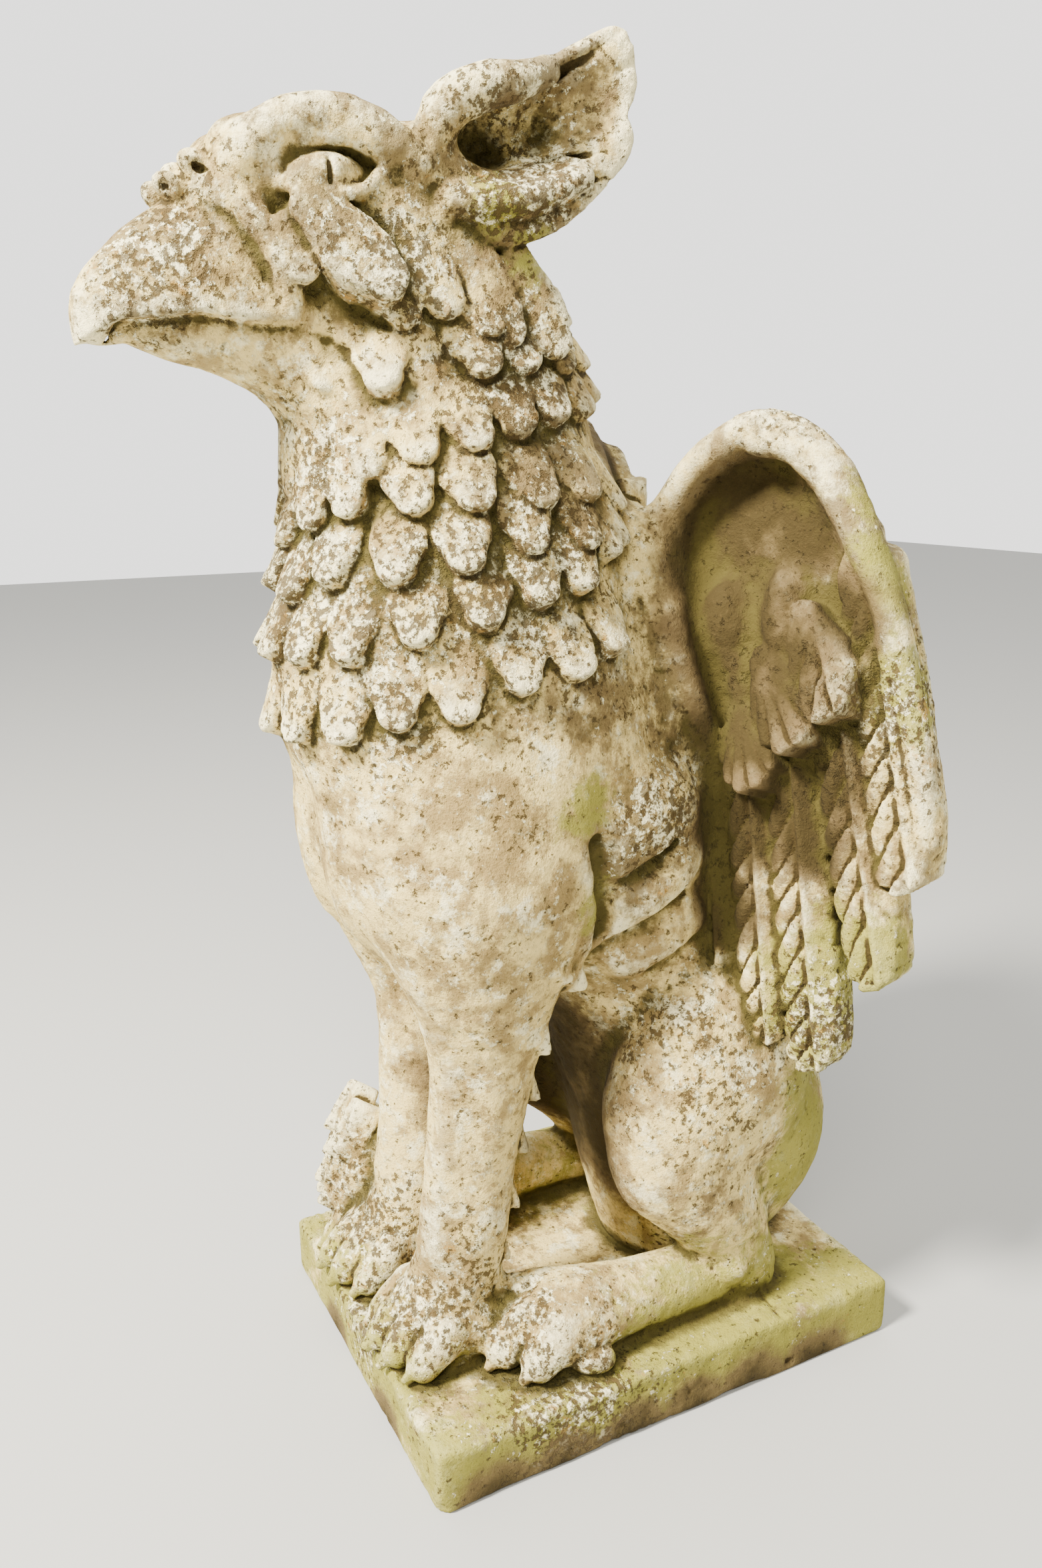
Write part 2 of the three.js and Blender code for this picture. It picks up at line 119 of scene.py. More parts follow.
# Rounded lump
def lump(centre, radii, turn=(0, 0, 0)):
    centre, radii = np.array(centre, dtype=float), np.array(radii, dtype=float)
    spin = turned(turn)
    reach = np.sqrt(((spin * radii) ** 2).sum(axis=1))

    def shape(x, y, z):
        offset = (x - centre[0], y - centre[1], z - centre[2])
        near, steep = 0.0, 0.0
        for i in range(3):
            local = dot(offset, spin[:, i]) / radii[i]
            near = near + local ** 2
            steep = steep + (local / radii[i]) ** 2
        near, steep = np.sqrt(near), np.sqrt(steep)
        return near * (near - 1) / np.maximum(steep, 1e-6)
    return centre - reach, centre + reach, shape


# Round member through [x, y, z, half width, half depth], the width lying along hint
def member(rows, hint=(1, 0, 0), steps=4):
    stops = eased(rows, steps)
    hint = np.array(hint, dtype=float)
    thick = stops[:, 3:].max(axis=1)[:, None]
    boxLow = (stops[:, :3] - thick).min(axis=0)
    boxHigh = (stops[:, :3] + thick).max(axis=0)

    def shape(x, y, z):
        best = None
        for a, b in zip(stops[:-1], stops[1:]):
            run = b[:3] - a[:3]
            along = unit(run)
            across = unit(hint - along * (hint @ along))
            deep = np.cross(along, across)
            offset = (x - a[0], y - a[1], z - a[2])
            t = np.clip(dot(offset, run) / (run @ run), 0, 1)
            halfWidth = a[3] + (b[3] - a[3]) * t
            halfDepth = a[4] + (b[4] - a[4]) * t
            offset = [part - step * t for part, step in zip(offset, run)]
            end = np.minimum(halfWidth, halfDepth)
            u, v = dot(offset, across) / halfWidth, dot(offset, deep) / halfDepth
            s = dot(offset, along) / end
            near = np.sqrt(u * u + v * v + s * s)
            steep = np.sqrt((u / halfWidth) ** 2 + (v / halfDepth) ** 2 + (s / end) ** 2)
            d = near * (near - 1) / np.maximum(steep, 1e-6)
            best = d if best is None else np.minimum(best, d)
        return best
    return boxLow, boxHigh, shape


# Mass of level ovals: [height, middle in y, half width, half depth]
def mass(fine):
    boxLow = np.array([-fine[:, 2].max(), (fine[:, 1] - fine[:, 3]).min(), fine[0, 0]])
    boxHigh = np.array([fine[:, 2].max(), (fine[:, 1] + fine[:, 3]).max(), fine[-1, 0]])

    def shape(x, y, z):
        middle, halfWidth, halfDepth = [np.interp(z, fine[:, 0], fine[:, k]) for k in (1, 2, 3)]
        u, v = x / halfWidth, (y - middle) / halfDepth
        near = np.sqrt(u * u + v * v)
        steep = np.sqrt((u / halfWidth) ** 2 + (v / halfDepth) ** 2)
        d = near * (near - 1) / np.maximum(steep, 1e-6) * 0.95
        return np.maximum(np.maximum(d, z - fine[-1, 0]), fine[0, 0] - z)
    return boxLow, boxHigh, shape


# Domed leaf from its root, lying along down and facing out: crown(v, u) carves its face, notch its rim
def leaf(root, down, out, form, crown=None, notch=None):
    root = np.asarray(root, dtype=float)
    along = unit(down)
    face = unit(np.asarray(out) - along * (np.asarray(out) @ along))
    across = np.cross(along, face)
    length, half = form["length"], form["width"] / 2
    tip = half * form.get("tip", 0.72)
    neck = half * form.get("neck", 0.66)
    bow, edge = form.get("bow", 0.55), form.get("edge", 4.0)
    rise, sink = form["rise"], form["sink"]
    corners = np.array([root + along * v + across * u + face * n
                        for v in (-neck, length) for u in (-half, half) for n in (-sink, rise)])

    def shape(x, y, z):
        offset = (x - root[0], y - root[1], z - root[2])
        v, u, n = dot(offset, along), dot(offset, across), dot(offset, face)
        body = length - tip
        t = np.clip(v / body, 0, 1)
        plan = np.hypot(u, v - t * body) - np.interp(t, [0, 0.5, 0.8, 1],
                                                     [neck, half, half * 0.97, tip])
        top = rise * (1 - bow * np.clip(np.abs(u) / half, 0, 1.2) ** 2)
        if notch is not None:
            plan = plan + notch(v, u)
        if crown is not None:
            top = top + crown(v, u)
        return softMax(softMax(plan, n - top, edge), -n - sink, edge)
    return corners.min(axis=0), corners.max(axis=0), shape


# Signed distance to a closed outline, in its own flat grid
def outlineDistance(points, u, v):
    points = np.array(points, dtype=float)
    best = np.full(np.broadcast(u, v).shape, 1e9)
    inside = np.zeros(best.shape, dtype=bool)
    for a, b in zip(points, np.roll(points, -1, axis=0)):
        du, dv = b - a
        t = np.clip(((u - a[0]) * du + (v - a[1]) * dv) / (du * du + dv * dv), 0, 1)
        best = np.minimum(best, (u - a[0] - t * du) ** 2 + (v - a[1] - t * dv) ** 2)
        if dv != 0:
            crosses = ((a[1] > v) != (b[1] > v)) & (u < du * (v - a[1]) / dv + a[0])
            inside ^= crosses
    return np.where(inside, -1, 1) * np.sqrt(best)


# Closed outline with its corners rounded off by easing
def rounded(points, steps=4):
    looped = [points[-1]] + list(points) + [points[0], points[1]]
    fine = eased(looped, steps)
    return fine[steps:-2 * steps]


def mirrored(rows, side):
    return [[side * row[0], *row[1:]] for row in rows]


# Forms from rows: join or carve, the fillet, then a lump's centre, radii and turn or a member's stops
def layForms(forms, side=1):
    for act, blend, *given in forms:
        if len(given) == 3:
            centre, radii, turn = given
            form = lump([side * centre[0], *centre[1:]], radii, [turn[0], side * turn[1], side * turn[2]])
        else:
            form = member(mirrored(given[0], side), *given[1:])
        act(form, blend)


# Body and neck
bodyRows = [
    [-8, 110, 70, 75], [70, 118, 106, 104], [150, 110, 115, 113], [230, 84, 109, 110],
    [310, 50, 102, 112], [370, -8, 110, 146], [430, -46, 121, 169], [500, -82, 129, 168],
    [560, -103, 129, 156], [620, -116, 123, 135], [690, -114, 104, 117], [726, -121, 95, 114],
    [762, -134, 86, 117], [830, -140, 73, 92], [900, -162, 60, 74]]
bodyFine = eased(bodyRows, 4)
bodyForms = {
    "sides": [[join, 34, [66, -128, 436], [72, 102, 118], [6, 0, -4]],
              [join, 30, [44, 138, 134], [78, 80, 102], [0, 0, 0]]],
    # breast bone and the hollow between the breast muscles
    "middle": [[join, 40, [0, -170, 420], [60, 74, 90], [0, 0, 0]],
               [carve, 30, [[0, -262, 480, 10, 12], [0, -250, 400, 12, 16], [0, -214, 320, 12, 16]]]],
}


def ovalAt(height):
    return [np.interp(height, bodyFine[:, 0], bodyFine[:, k]) for k in (1, 2, 3)]


# Place on the body's skin by angle from the breast and height, with its way out and down
def onBody(angle, height):
    def skin(z):
        middle, halfWidth, halfDepth = ovalAt(z)
        return np.array([math.sin(angle) * halfWidth, middle - math.cos(angle) * halfDepth, z])
    _, halfWidth, halfDepth = ovalAt(height)
    here = skin(height)
    down = unit(here - skin(height + 12))
    level = unit([math.sin(angle) / halfWidth, -math.cos(angle) / halfDepth, 0])
    out = unit(level - down * (level @ down))
    return here, down, out


def layBody():
    join(mass(bodyFine), 1.0)
    for side in (1, -1):
        layForms(bodyForms["sides"], side)
    layForms(bodyForms["middle"])


# Legs
legs = {
    "front": [[80, -124, 410, 56, 82], [77, -129, 345, 50, 66], [69, -128, 275, 39, 45],
              [62, -136, 190, 34, 37], [58, -146, 100, 34, 35], [54, -161, 40, 38, 40]],
    "setback": 11, "pawNear": 52, "pawFar": -68,
    "toes": [[-36, -190], [-12, -200], [13, -199], [36, -187]],
    "hindToes": [[80, -106, -128], [106, -110, -138], [132, -98, -120]],
    "hind": [[join, 14, [98, 74, 210], [57, 92, 104], [-8, 0, 0]],
             [join, 28, [100, 28, 178], [48, 58, 66], [0, 0, 0]],
             [join, 20, [[106, 18, 140, 40, 44], [110, 58, 102, 40, 44], [104, 98, 34, 30, 34]]],
             [join, 12, [[104, 112, 18, 26, 26], [110, 40, 26, 27, 27], [111, -30, 30, 31, 30],
                         [107, -78, 30, 43, 33], [107, -100, 26, 39, 28]]],
             # fold between the thigh and the foot, and the heel's block under it
             [carve, 9, [[150, -30, 80, 5, 6], [152, 16, 62, 8, 8], [150, 64, 58, 7, 7],
                         [138, 104, 62, 5, 5]]],
             [join, 5, [118, 74, 40], [26, 20, 22], [0, 0, 12]]],
    "sideToes": [[join, 4, [146, -72, 12], [12, 18, 12], [0, 0, -20]],
                 [join, 5, [74, -74, 18], [12, 26, 15], [0, 0, 20]]],
}


def layFrontLeg(side):
    back = 0 if side > 0 else legs["setback"]
    pawX = legs["pawNear"] if side > 0 else legs["pawFar"]
    rows = [[side * x, y + back * min(1, max(0, (380 - z) / 110)), z, w, d]
            for x, y, z, w, d in legs["front"]]
    rows[-1][0] = pawX * 0.97
    join(member(rows), 26)
    # tendon and bone that show down the front of the leg
    shin = [[x * 1.02 + side * 4, y - d * 0.82, z, 12, 9] for x, y, z, w, d in rows[1:-1]]
    join(member(shin), 22)
    join(lump([pawX, -162, 24], [45, 44, 34]), 16)
    for reach, forward in legs["toes"]:
        toe = [[pawX + reach * 0.74, -158, 36, 14, 15], [pawX + reach * 0.95, forward + 8, 30, 17, 19],
               [pawX + reach * 1.04, forward - 12, 15, 14, 15]]
        join(member(toe), 5)
        join(lump([pawX + reach * 1.0, forward + 12, 42], [11, 13, 10]), 6)
        claw = [[pawX + reach * 1.05, forward - 16, 17, 6, 8], [pawX + reach * 1.07, forward - 29, 6, 3, 5]]
        join(member(claw), 3)


def layHindLeg(side):
    layForms(legs["hind"], side)
    for x, knuckle, tip in legs["hindToes"]:
        join(member([[side * (x * 0.7 + 33), -70, 38, 16, 17], [side * x, knuckle + 6, 36, 18, 21],
                     [side * (x + 2), tip + 4, 18, 15, 16]]), 4)
        join(member([[side * (x + 3), tip, 18, 6, 8], [side * (x + 3), tip - 12, 6, 3, 5]]), 3)
    layForms(legs["sideToes"], side)


# Flank: the bulges of the ribs, the creases between them, and the folds of skin at both ends
ribs = {
    "bulges": [[[108, -30, 446, 16, 26], [110, -8, 452, 18, 34], [106, 18, 462, 16, 28]],
               [[98, -44, 374, 12, 12], [108, -18, 384, 14, 14], [111, 4, 398, 14, 14],
                [108, 28, 416, 10, 12]],
               [[92, -16, 330, 10, 10], [100, 10, 346, 13, 13], [102, 34, 362, 12, 12]]],
    "creases": [[[119, -56, 405, 4, 4], [122, -40, 405, 5, 5], [123, -26, 410, 5.5, 5],
                 [122, -8, 420, 5, 5], [119, 8, 433, 3, 3]],
                [[98, -46, 343, 4, 4], [107, -32, 350, 5, 5], [112, -17, 358, 6, 6], [116, 2, 372, 5, 5],
                 [113, 24, 387, 3, 3]],
                [[101, 8, 316, 4, 4], [107, 28, 327, 5, 5], [107, 48, 340, 3, 3]]],
    "ends": [[carve, 9, [[128, -66, 446, 7, 8], [126, -58, 418, 9, 9], [119, -52, 392, 9, 9],
                         [108, -50, 366, 7, 8]]],
             [join, 9, [[122, -100, 470, 7, 6], [124, -88, 446, 8, 6], [120, -77, 416, 9, 6],
                        [114, -70, 390, 9, 6], [102, -66, 356, 8, 6], [84, -70, 322, 6, 6]]],
             [join, 12, [[92, 16, 600, 5, 6], [101, 28, 560, 6, 7], [102, 48, 520, 7, 8],
                         [101, 74, 474, 7, 8], [100, 92, 434, 6, 7], [97, 100, 400, 4, 5]]]],
}


def layRibs(side):
    for rows in ribs["bulges"]:
        join(member(mirrored(rows, side)), 24)
    for rows in ribs["creases"]:
        carve(member(mirrored(rows, side)), 12)
    layForms(ribs["ends"], side)


# Feathers of the bib, by rows: the tips' height in front, its rise and bend per degree, the angles of
# the tips from the breast, how far each root is turned from its tip, and the length and width
bib = {
    "rows": [
        [520, 0.22, 0.0030, [13, 33, 49, 65, 82, 99, 115], -1, 74, 43],
        [577, 0.10, 0.0034, [-1, 18, 36, 56, 76, 93, 109, 126], 0, 74, 43],
        [620, 0.45, -0.0015, [8, 28, 49, 70, 92, 114, 136], 1, 72, 43],
        [655, 0.72, -0.0040, [-4, 16, 35, 57, 77, 98, 119, 141, 163], 2, 70, 42],
        [690, 0.50, -0.0006, [0, 19, 42, 62, 80, 98, 116, 136, 156, 176], 3, 70, 42],
        [757, 0.06, 0.0006, [57, 92, 110, 130, 150, 170], 5, 72, 44],
        [786, 0.05, 0.0006, [98, 120, 142, 164], 6, 70, 44],
    ],
    "proud": 8.0, "rootDeep": 14.0, "uneven": 4.0,
    "form": {"rise": 9.0, "sink": 24.0, "tip": 0.66, "neck": 0.7, "edge": 3.0, "bow": 0.5},
}


def layBib():
    chance = np.random.default_rng(7)
    for height, rise, bend, angles, turn, length, width in bib["rows"]:
        shift = angles[0] * 2 - (angles[1] - angles[0])
        for side in (1, -1):
            for angle in angles:
                slip = chance.uniform(-1, 1, 4)
                far = angle if side > 0 else angle - shift
                if side < 0 and (far < 4 or far > 172):
                    continue
                tipHeight = height + rise * far + bend * far * far + slip[0] * bib["uneven"]
                long = length * (1 + 0.06 * slip[1])
                tipTurn = math.radians(side * (far + slip[2] * 1.5))
                rootTurn = math.radians(side * (far - turn + slip[3] * 2.0))
                tip, _, tipOut = onBody(tipTurn, tipHeight)
                root, _, out = onBody(rootTurn, tipHeight + long * 0.97)
                tip, root = tip + tipOut * bib["proud"], root - out * bib["rootDeep"]
                form = {**bib["form"], "length": np.linalg.norm(tip - root),
                        "width": width * (1 + 0.05 * slip[1])}
                join(leaf(root, tip - root, out + tipOut, form), 1.0)


# Head
beak = {
    "upper": [[-236, 912, 804, 54], [-280, 902, 805, 51], [-310, 885, 806, 45],
              [-335, 869, 806, 39], [-354, 853, 804, 32], [-368, 838, 797, 24], [-377, 822, 792, 13]],
    "lower": [[-222, 812, 762, 46], [-262, 811, 770, 41], [-300, 811, 778, 33],
              [-330, 810, 786, 25], [-349, 808, 795, 14]],
}


head = {
    "skull": [[join, 30, [0, -178, 867], [69, 92, 72], [8, 0, 0]],
              [join, 24, [0, -232, 838], [50, 54, 74], [0, 0, 0]]],
    # throat, ridge and blunt end of the beak, and the forehead
    "middle": [[join, 22, [0, -232, 796], [42, 46, 34], [0, 0, 0]],
               [join, 8, [0, -288, 888], [20, 18, 13], [-30, 0, 0]],
               [join, 9, [0, -362, 808], [19, 15, 17], [20, 0, 0]],
               [join, 16, [0, -228, 896], [60, 62, 44], [-4, 0, 0]]],
    "foreheads": [[join, 12, [30, -262, 902], [27, 32, 28], [-24, 0, 0]],
                  [join, 12, [44, -206, 912], [27, 38, 28], [6, 0, 0]]],
    "creases": [[-264, 932], [-244, 942], [-218, 946], [-192, 942], [-168, 930]],
    # deep socket under the brow, the eye, its lid and its slit
    "eyes": [[carve, 5, [78, -226, 894], [27, 36, 17], [7, 0, 12]],
             [join, 9, [[36, -284, 890, 11, 10], [48, -270, 910, 14, 13], [55, -248, 924, 14, 14],
                        [61, -216, 927, 14, 14], [67, -190, 918, 13, 13], [68, -166, 902, 12, 11]]],
             [join, 2, [58, -227, 892], [15, 27, 14], [7, 0, 6]],
             [join, 6, [[58, -256, 886, 3, 3], [67, -243, 880, 5, 4], [71, -225, 878, 4, 3.6],
                        [70, -206, 884, 3.6, 3.4], [67, -194, 894, 3, 3]]],
             [carve, 1.0, [[73, -229, 902, 2.2, 6], [74, -228, 894, 3.0, 7], [73, -228, 886, 2.2, 6]],
              (0, 1, 0)]],
    # fleshy edge behind the beak, and the nostrils on it
    "nose": [[join, 7, [[20, -300, 888, 8, 8], [40, -284, 882, 9, 9], [52, -267, 862, 8, 9],
                        [56, -256, 836, 8, 8], [52, -248, 812, 6, 6]]],
             [carve, 4, [[47, -303, 876, 3, 3], [56, -282, 858, 3, 3], [59, -270, 832, 3, 3]]],
             [join, 3, [24, -297, 897], [13, 15, 9], [-28, 0, 0]],
             [join, 3, [17, -316, 886], [10, 11, 8], [-30, 0, 0]],
             [carve, 2, [35, -301, 896], [8, 6, 3.4], [-28, 0, 0]],
             [carve, 2, [26, -320, 885], [7, 5, 3], [-30, 0, 0]]],
    "mouth": [[carve, 2.5, [[60, -244, 802, 8, 3.4], [53, -270, 799, 11, 4.6], [43, -306, 805, 11, 4.8],
                            [32, -334, 801, 10, 4.4], [18, -352, 799, 8, 3.6]]]],
    "mouthEnd": [[carve, 3, [[-16, -354, 800, 6, 2.6], [0, -360, 798, 6, 2.6], [16, -354, 800, 6, 2.6]],
                  (0, 0, 1)]],
}


def beakPart(rows, upright):
    fine = eased(rows, 4)[::-1]
    boxLow = np.array([-fine[:, 3].max(), fine[:, 0].min(), fine[:, 2].min()])
    boxHigh = np.array([fine[:, 3].max(), fine[:, 0].max(), fine[:, 1].max()])

    def shape(x, y, z):
        top, bottom, half = [np.interp(y, fine[:, 0], fine[:, k]) for k in (1, 2, 3)]
        flat = bottom if upright else top
        tall = np.abs(top - bottom)
        v = (z - flat) / tall
        u = x / half
        near = (np.abs(u) ** 2.3 + np.abs(v) ** 2.3) ** (1 / 2.3)
        size = np.minimum(half, tall)
        d = (near - 1) * size * 0.9
        lip = (flat - z) if upright else (z - flat)
        return np.maximum(softMax(d, lip, 5.0), fine[0, 0] - y)
    return boxLow, boxHigh, shape


def layHead():
    layForms(head["skull"])
    join(beakPart(beak["upper"], True), 8)
    join(beakPart(beak["lower"], False), 7)
    layForms(head["middle"])
    for side in (1, -1):
        layForms(head["foreheads"], side)
        for y, height in head["creases"]:
            crease = [[22, y + 8, height + 2, 3, 3], [46, y + 2, height, 4, 4],
                      [66, y - 3, height - 12, 3, 3]]
            carve(member(mirrored(crease, side)), 4)
        for part in ("eyes", "nose", "mouth"):
            layForms(head[part], side)
    layForms(head["mouthEnd"])


# Cheek and temple feathers: root [x, y, z], tip [x, y, z] and width
cheeks = {
    "feathers": [[34, -234, 826, 57, -222, 760, 42], [52, -218, 836, 70, -194, 781, 44],
                 [74, -176, 816, 86, -162, 756, 42], [72, -204, 850, 82, -176, 802, 38],
                 [64, -252, 860, 72, -243, 827, 38], [68, -190, 876, 89, -147, 809, 42],
                 [76, -138, 856, 92, -105, 791, 44], [78, -98, 846, 89, -68, 786, 42],
                 [74, -240, 872, 99, -188, 821, 46]],
    "form": {"rise": 9, "sink": 24, "tip": 0.7, "neck": 0.6, "edge": 3.0, "bow": 0.5},
}


def layCheeks(side):
    for x, y, z, tipX, tipY, tipZ, width in cheeks["feathers"]:
        down = np.array([side * (tipX - x), tipY - y, tipZ - z])
        form = {**cheeks["form"], "length": np.linalg.norm(down), "width": width}
        join(leaf([side * (x - 9), y, z], down, [side, -0.12, 0.25], form), 1.2)


# Ear: a thick cup that opens outwards, its outline seen from the side as [y, z]
ear = {
    "outline": [[-154, 900], [-150, 938], [-112, 962], [-76, 974], [-48, 988], [-33, 992], [-23, 980],
                [-20, 958], [-25, 940], [-21, 926], [-28, 908], [-54, 882], [-84, 862], [-126, 860]],
    "flare": 0.21, "foot": 62, "lip": 13.0, "wall": 19.0, "swell": 30.0,
    "bowls": [[-120, 922, 40, 28, 21, -8], [-90, 928, 32, 34, 22, 16], [-58, 944, 17, 30, 22, 30]],
    "hair": [-12, 0, 9, 18, 28, 40, 54], "hairFrom": [-146, 900], "hairDeep": 3.0,
    # rolled upper rim in two lumps, and the thick lower lip
    "rims": [[join, 7, [[60, -158, 902, 12, 11], [74, -152, 934, 16, 15], [84, -128, 948, 16, 15],
                        [88, -104, 953, 14, 12], [88, -80, 962, 8, 8]]],
             [join, 8, [[72, -146, 882, 12, 10], [82, -120, 882, 13, 11], [90, -92, 886, 12, 10],
                        [97, -62, 898, 10, 8]]]],
}


def earFace(y):
    return ear["foot"] + (y + 150) * ear["flare"]


def layEar(side):
    edge = rounded(ear["outline"])

    def shape(x, y, z):
        yy, zz = np.broadcast_arrays(y, z)
        plan = outlineDistance(edge, yy, zz)
        inner = np.clip(-plan / 44, 0, 1)
        out = side * x - earFace(yy)
        return softMax(softMax(plan, out - ear["lip"], 8.0), -out - ear["wall"] - ear["swell"] * inner, 12.0)
    boxLow = np.array([min(0, side * 115), -165.0, 850.0])
    boxHigh = np.array([max(0, side * 115), 0.0, 1006.0])
    join((boxLow, boxHigh, shape), 10)
    for y, z, deep, long, tall, turn in ear["bowls"]:
        carve(lump([side * (earFace(y) + 18), y, z], [deep, long, tall], [turn, 0, side * -11]), 10)
    layForms(ear["rims"], side)
    # hair that fans out from the hollow to the back edge
    y0, z0 = ear["hairFrom"]
    for k, lift in enumerate(ear["hair"]):
        a = math.radians(lift * 0.62)
        for reach, (near, far) in ((1.0, (62, 92)), (0.7, (88, 136 if lift > 12 else 104))):
            stops = []
            for away in (near + 6 * (k % 3), (near + far) / 2, far):
                y = y0 + away * math.cos(a)
                z = z0 + 14 + away * math.sin(a) + 3 * math.sin(away * 0.12 + k * 1.9)
                size = ear["hairDeep"] * reach
                x = earFace(y) + (ear["lip"] if away > 90 else 2)
                stops.append([side * x, y, z, size, size * 1.6])
            carve(member(stops, hint=(0, 0, 1), steps=2), 2.5)


# Fur: locks down the back of the front legs and the tufts at the elbows
fur = {"elbow": [[-84, 414, 84, 44, 104, 0.24], [-70, 398, 88, 34, 90, 0.34], [-84, 344, 78, 28, 86, 0.14]],
       "from": [-76, 318, 72], "to": [-102, 108, 54], "count": 9, "length": 54, "width": 20,
       "form": {"rise": 9, "sink": 20, "tip": 0.3, "neck": 0.8, "edge": 3.0, "bow": 0.8}}


def strands(count, depth):
    def crown(v, u):
        return depth * np.sin(u * count + 0.04 * v)
    return crown


def layFur(side):
    back = 0 if side > 0 else legs["setback"]
    start, end = np.array(fur["from"]), np.array(fur["to"])
    locks = list(fur["elbow"])
    for k in range(fur["count"]):
        t = k / (fur["count"] - 1)
        y, z, x = start + (end - start) * t
        locks.append([y - 5 * (k % 2), z, fur["length"] * (1 - 0.2 * t), fur["width"],
                      x - 7 * (k % 2) - 2, 0.24 - 0.12 * (k % 2)])
    for y, z, length, width, x, slant in locks:
        form = {**fur["form"], "length": length, "width": width}
        join(leaf([side * (x + 6), y + back - 21, z], [side * 0.05, slant, -1], [side * 0.85, 0.55, 0.1],
                  form, strands(0.55, 1.0)), 2.5)


# Tail: over the rump, round the right side, to a tuft beside the right front paw
tail = {
    "rope": [[-10, 192, 110, 28, 28], [-34, 206, 50, 21, 21], [-90, 186, 18, 17, 17],
             [-140, 142, 15, 16, 16], [-153, 60, 15, 15, 15], [-152, -50, 16, 16, 16],
             [-140, -128, 32, 19, 19], [-128, -160, 58, 24, 22]],
    "locks": [[-138, -182, 104, 62, 22], [-120, -196, 88, 60, 22], [-134, -194, 62, 54, 22],
              [-150, -166, 90, 60, 20], [-108, -190, 118, 56, 20], [-146, -180, 56, 46, 20],
              [-118, -200, 56, 50, 20], [-126, -186, 128, 50, 20]],
    "tuft": [[join, 12, [-112, -168, 76], [27, 28, 60], [-24, 14, 0]]],
    "form": {"rise": 12, "sink": 18, "tip": 0.4, "neck": 0.8, "edge": 3.5, "bow": 0.7},
}


def layTail():
    join(member(tail["rope"], hint=(0, 0, 1)), 12)
    layForms(tail["tuft"])
    for x, y, z, length, width in tail["locks"]:
        form = {**tail["form"], "length": length, "width": width}
        join(leaf([x * 0.94, y + 16, z + 22], [-0.22, -0.42, -0.9], [-0.45, -0.85, 0.1], form,
                  strands(0.5, 3.0)), 1.5)


# Wing: its own plane runs out from the back, up, and a step towards the front
wing = {
    "sweep": 17, "root": [40, 60],
    "blade": [[-14, 640], [40, 688], [84, 722], [112, 728], [146, 702], [168, 656], [192, 606],
              [211, 554], [226, 500], [226, 440], [150, 430], [70, 400], [-14, 380]],
    "arch": [[-8, 640, 16, 14, 20], [20, 688, 22, 14, 20], [54, 720, 24, 15, 20],
             [94, 736, 22, 15, 20], [136, 718, 16, 14, 18], [170, 670, 12, 11, 16],
             [196, 614, 9, 8, 13], [214, 556, 5, 7, 11], [226, 502, 1, 6, 10],
             [230, 450, -3, 6, 9]],
    "muscles": [[84, 566, -4, 66, 17, 62, 0], [58, 594, 8, 20, 18, 31, 4], [112, 604, 8, 17, 17, 36, 8],
                [80, 545, 6, 13, 15, 32, 18], [22, 548, -4, 36, 22, 84, 0]],
    "quills": [[6, 520, 26, 304, 40], [34, 520, 62, 270, 48], [74, 520, 110, 256, 50],
               [112, 530, 155, 248, 56], [150, 560, 203, 334, 54], [172, 640, 221, 414, 56]],
    "coverts": [[136, 604, 171, 540, 54], [106, 566, 143, 513, 64], [84, 524, 108, 474, 60]],
    "backRows": [[14, 196, 532, 4, 6], [30, 172, 590, 2, 5], [48, 150, 646, 0, 4]],
    "barbs": 7,
    "shoulder": [[join, 26, [52, 44, 510], [46, 60, 172], [13, 0, 0]]],
    "quillForm": {"rise": 20, "sink": 20, "tip": 0.8, "neck": 0.7, "edge": 3.5, "bow": 0.8},
    "covertForm": {"rise": 17, "sink": 32, "tip": 0.86, "neck": 0.5, "edge": 3.0, "bow": 0.45},
    "backQuillForm": {"rise": 12, "sink": 16, "tip": 0.8, "neck": 0.7, "edge": 4.0, "bow": 0.8},
    "backForm": {"length": 66, "width": 46, "rise": 10, "sink": 14, "tip": 0.8, "neck": 0.6, "edge": 3.5,
                 "bow": 0.6},
}
sweep = math.radians(wing["sweep"])


def wingPoint(side, run, height, step):
    x = wing["root"][0] + run * math.cos(sweep) + step * math.sin(sweep)
    y = wing["root"][1] + run * math.sin(sweep) - step * math.cos(sweep)
    return np.array([side * x, y, height])


# How far a place is along the wing's plane and in front of it
def onWing(across, back):
    px, py = across - wing["root"][0], back - wing["root"][1]
    return (px * math.cos(sweep) + py * math.sin(sweep), px * math.sin(sweep) - py * math.cos(sweep))


def wingWay(side, run, height, step=0.0):
    return np.array([side * (run * math.cos(sweep) + step * math.sin(sweep)),
                     run * math.sin(sweep) - step * math.cos(sweep), height])


def bladeShape(side):
    edge = rounded(wing["blade"])

    def shape(x, y, z):
        run, step = onWing(side * x, y)
        level = np.arange(-20, 240, 2.0)
        flat = outlineDistance(edge, level[:, None], z[0, 0][None, :])
        place = np.clip((run - level[0]) / 2.0, 0, len(level) - 1.001)
        low = place.astype(int)
        part = place - low
        rows = np.arange(z.shape[2])[None, None, :]
        plan = flat[low, rows] * (1 - part) + flat[np.minimum(low + 1, len(level) - 1), rows] * part
        return softMax(plan, np.abs(step + 11) - 14, 8.0)
    ends = np.array([wingPoint(side, r, h, s) for r in (-20, 236) for h in (380, 732) for s in (-26, 6)])
    return ends.min(axis=0), ends.max(axis=0), shape


def saw(phase):
    return phase - np.floor(phase)


# Slanting barbs of a long feather, on the inner and on the outer side of its shaft
def barbSaws(v, w):
    return saw((v + 1.3 * w + 3 * np.sin(v * 0.05)) / 27), saw((v - 1.1 * w) / 22)


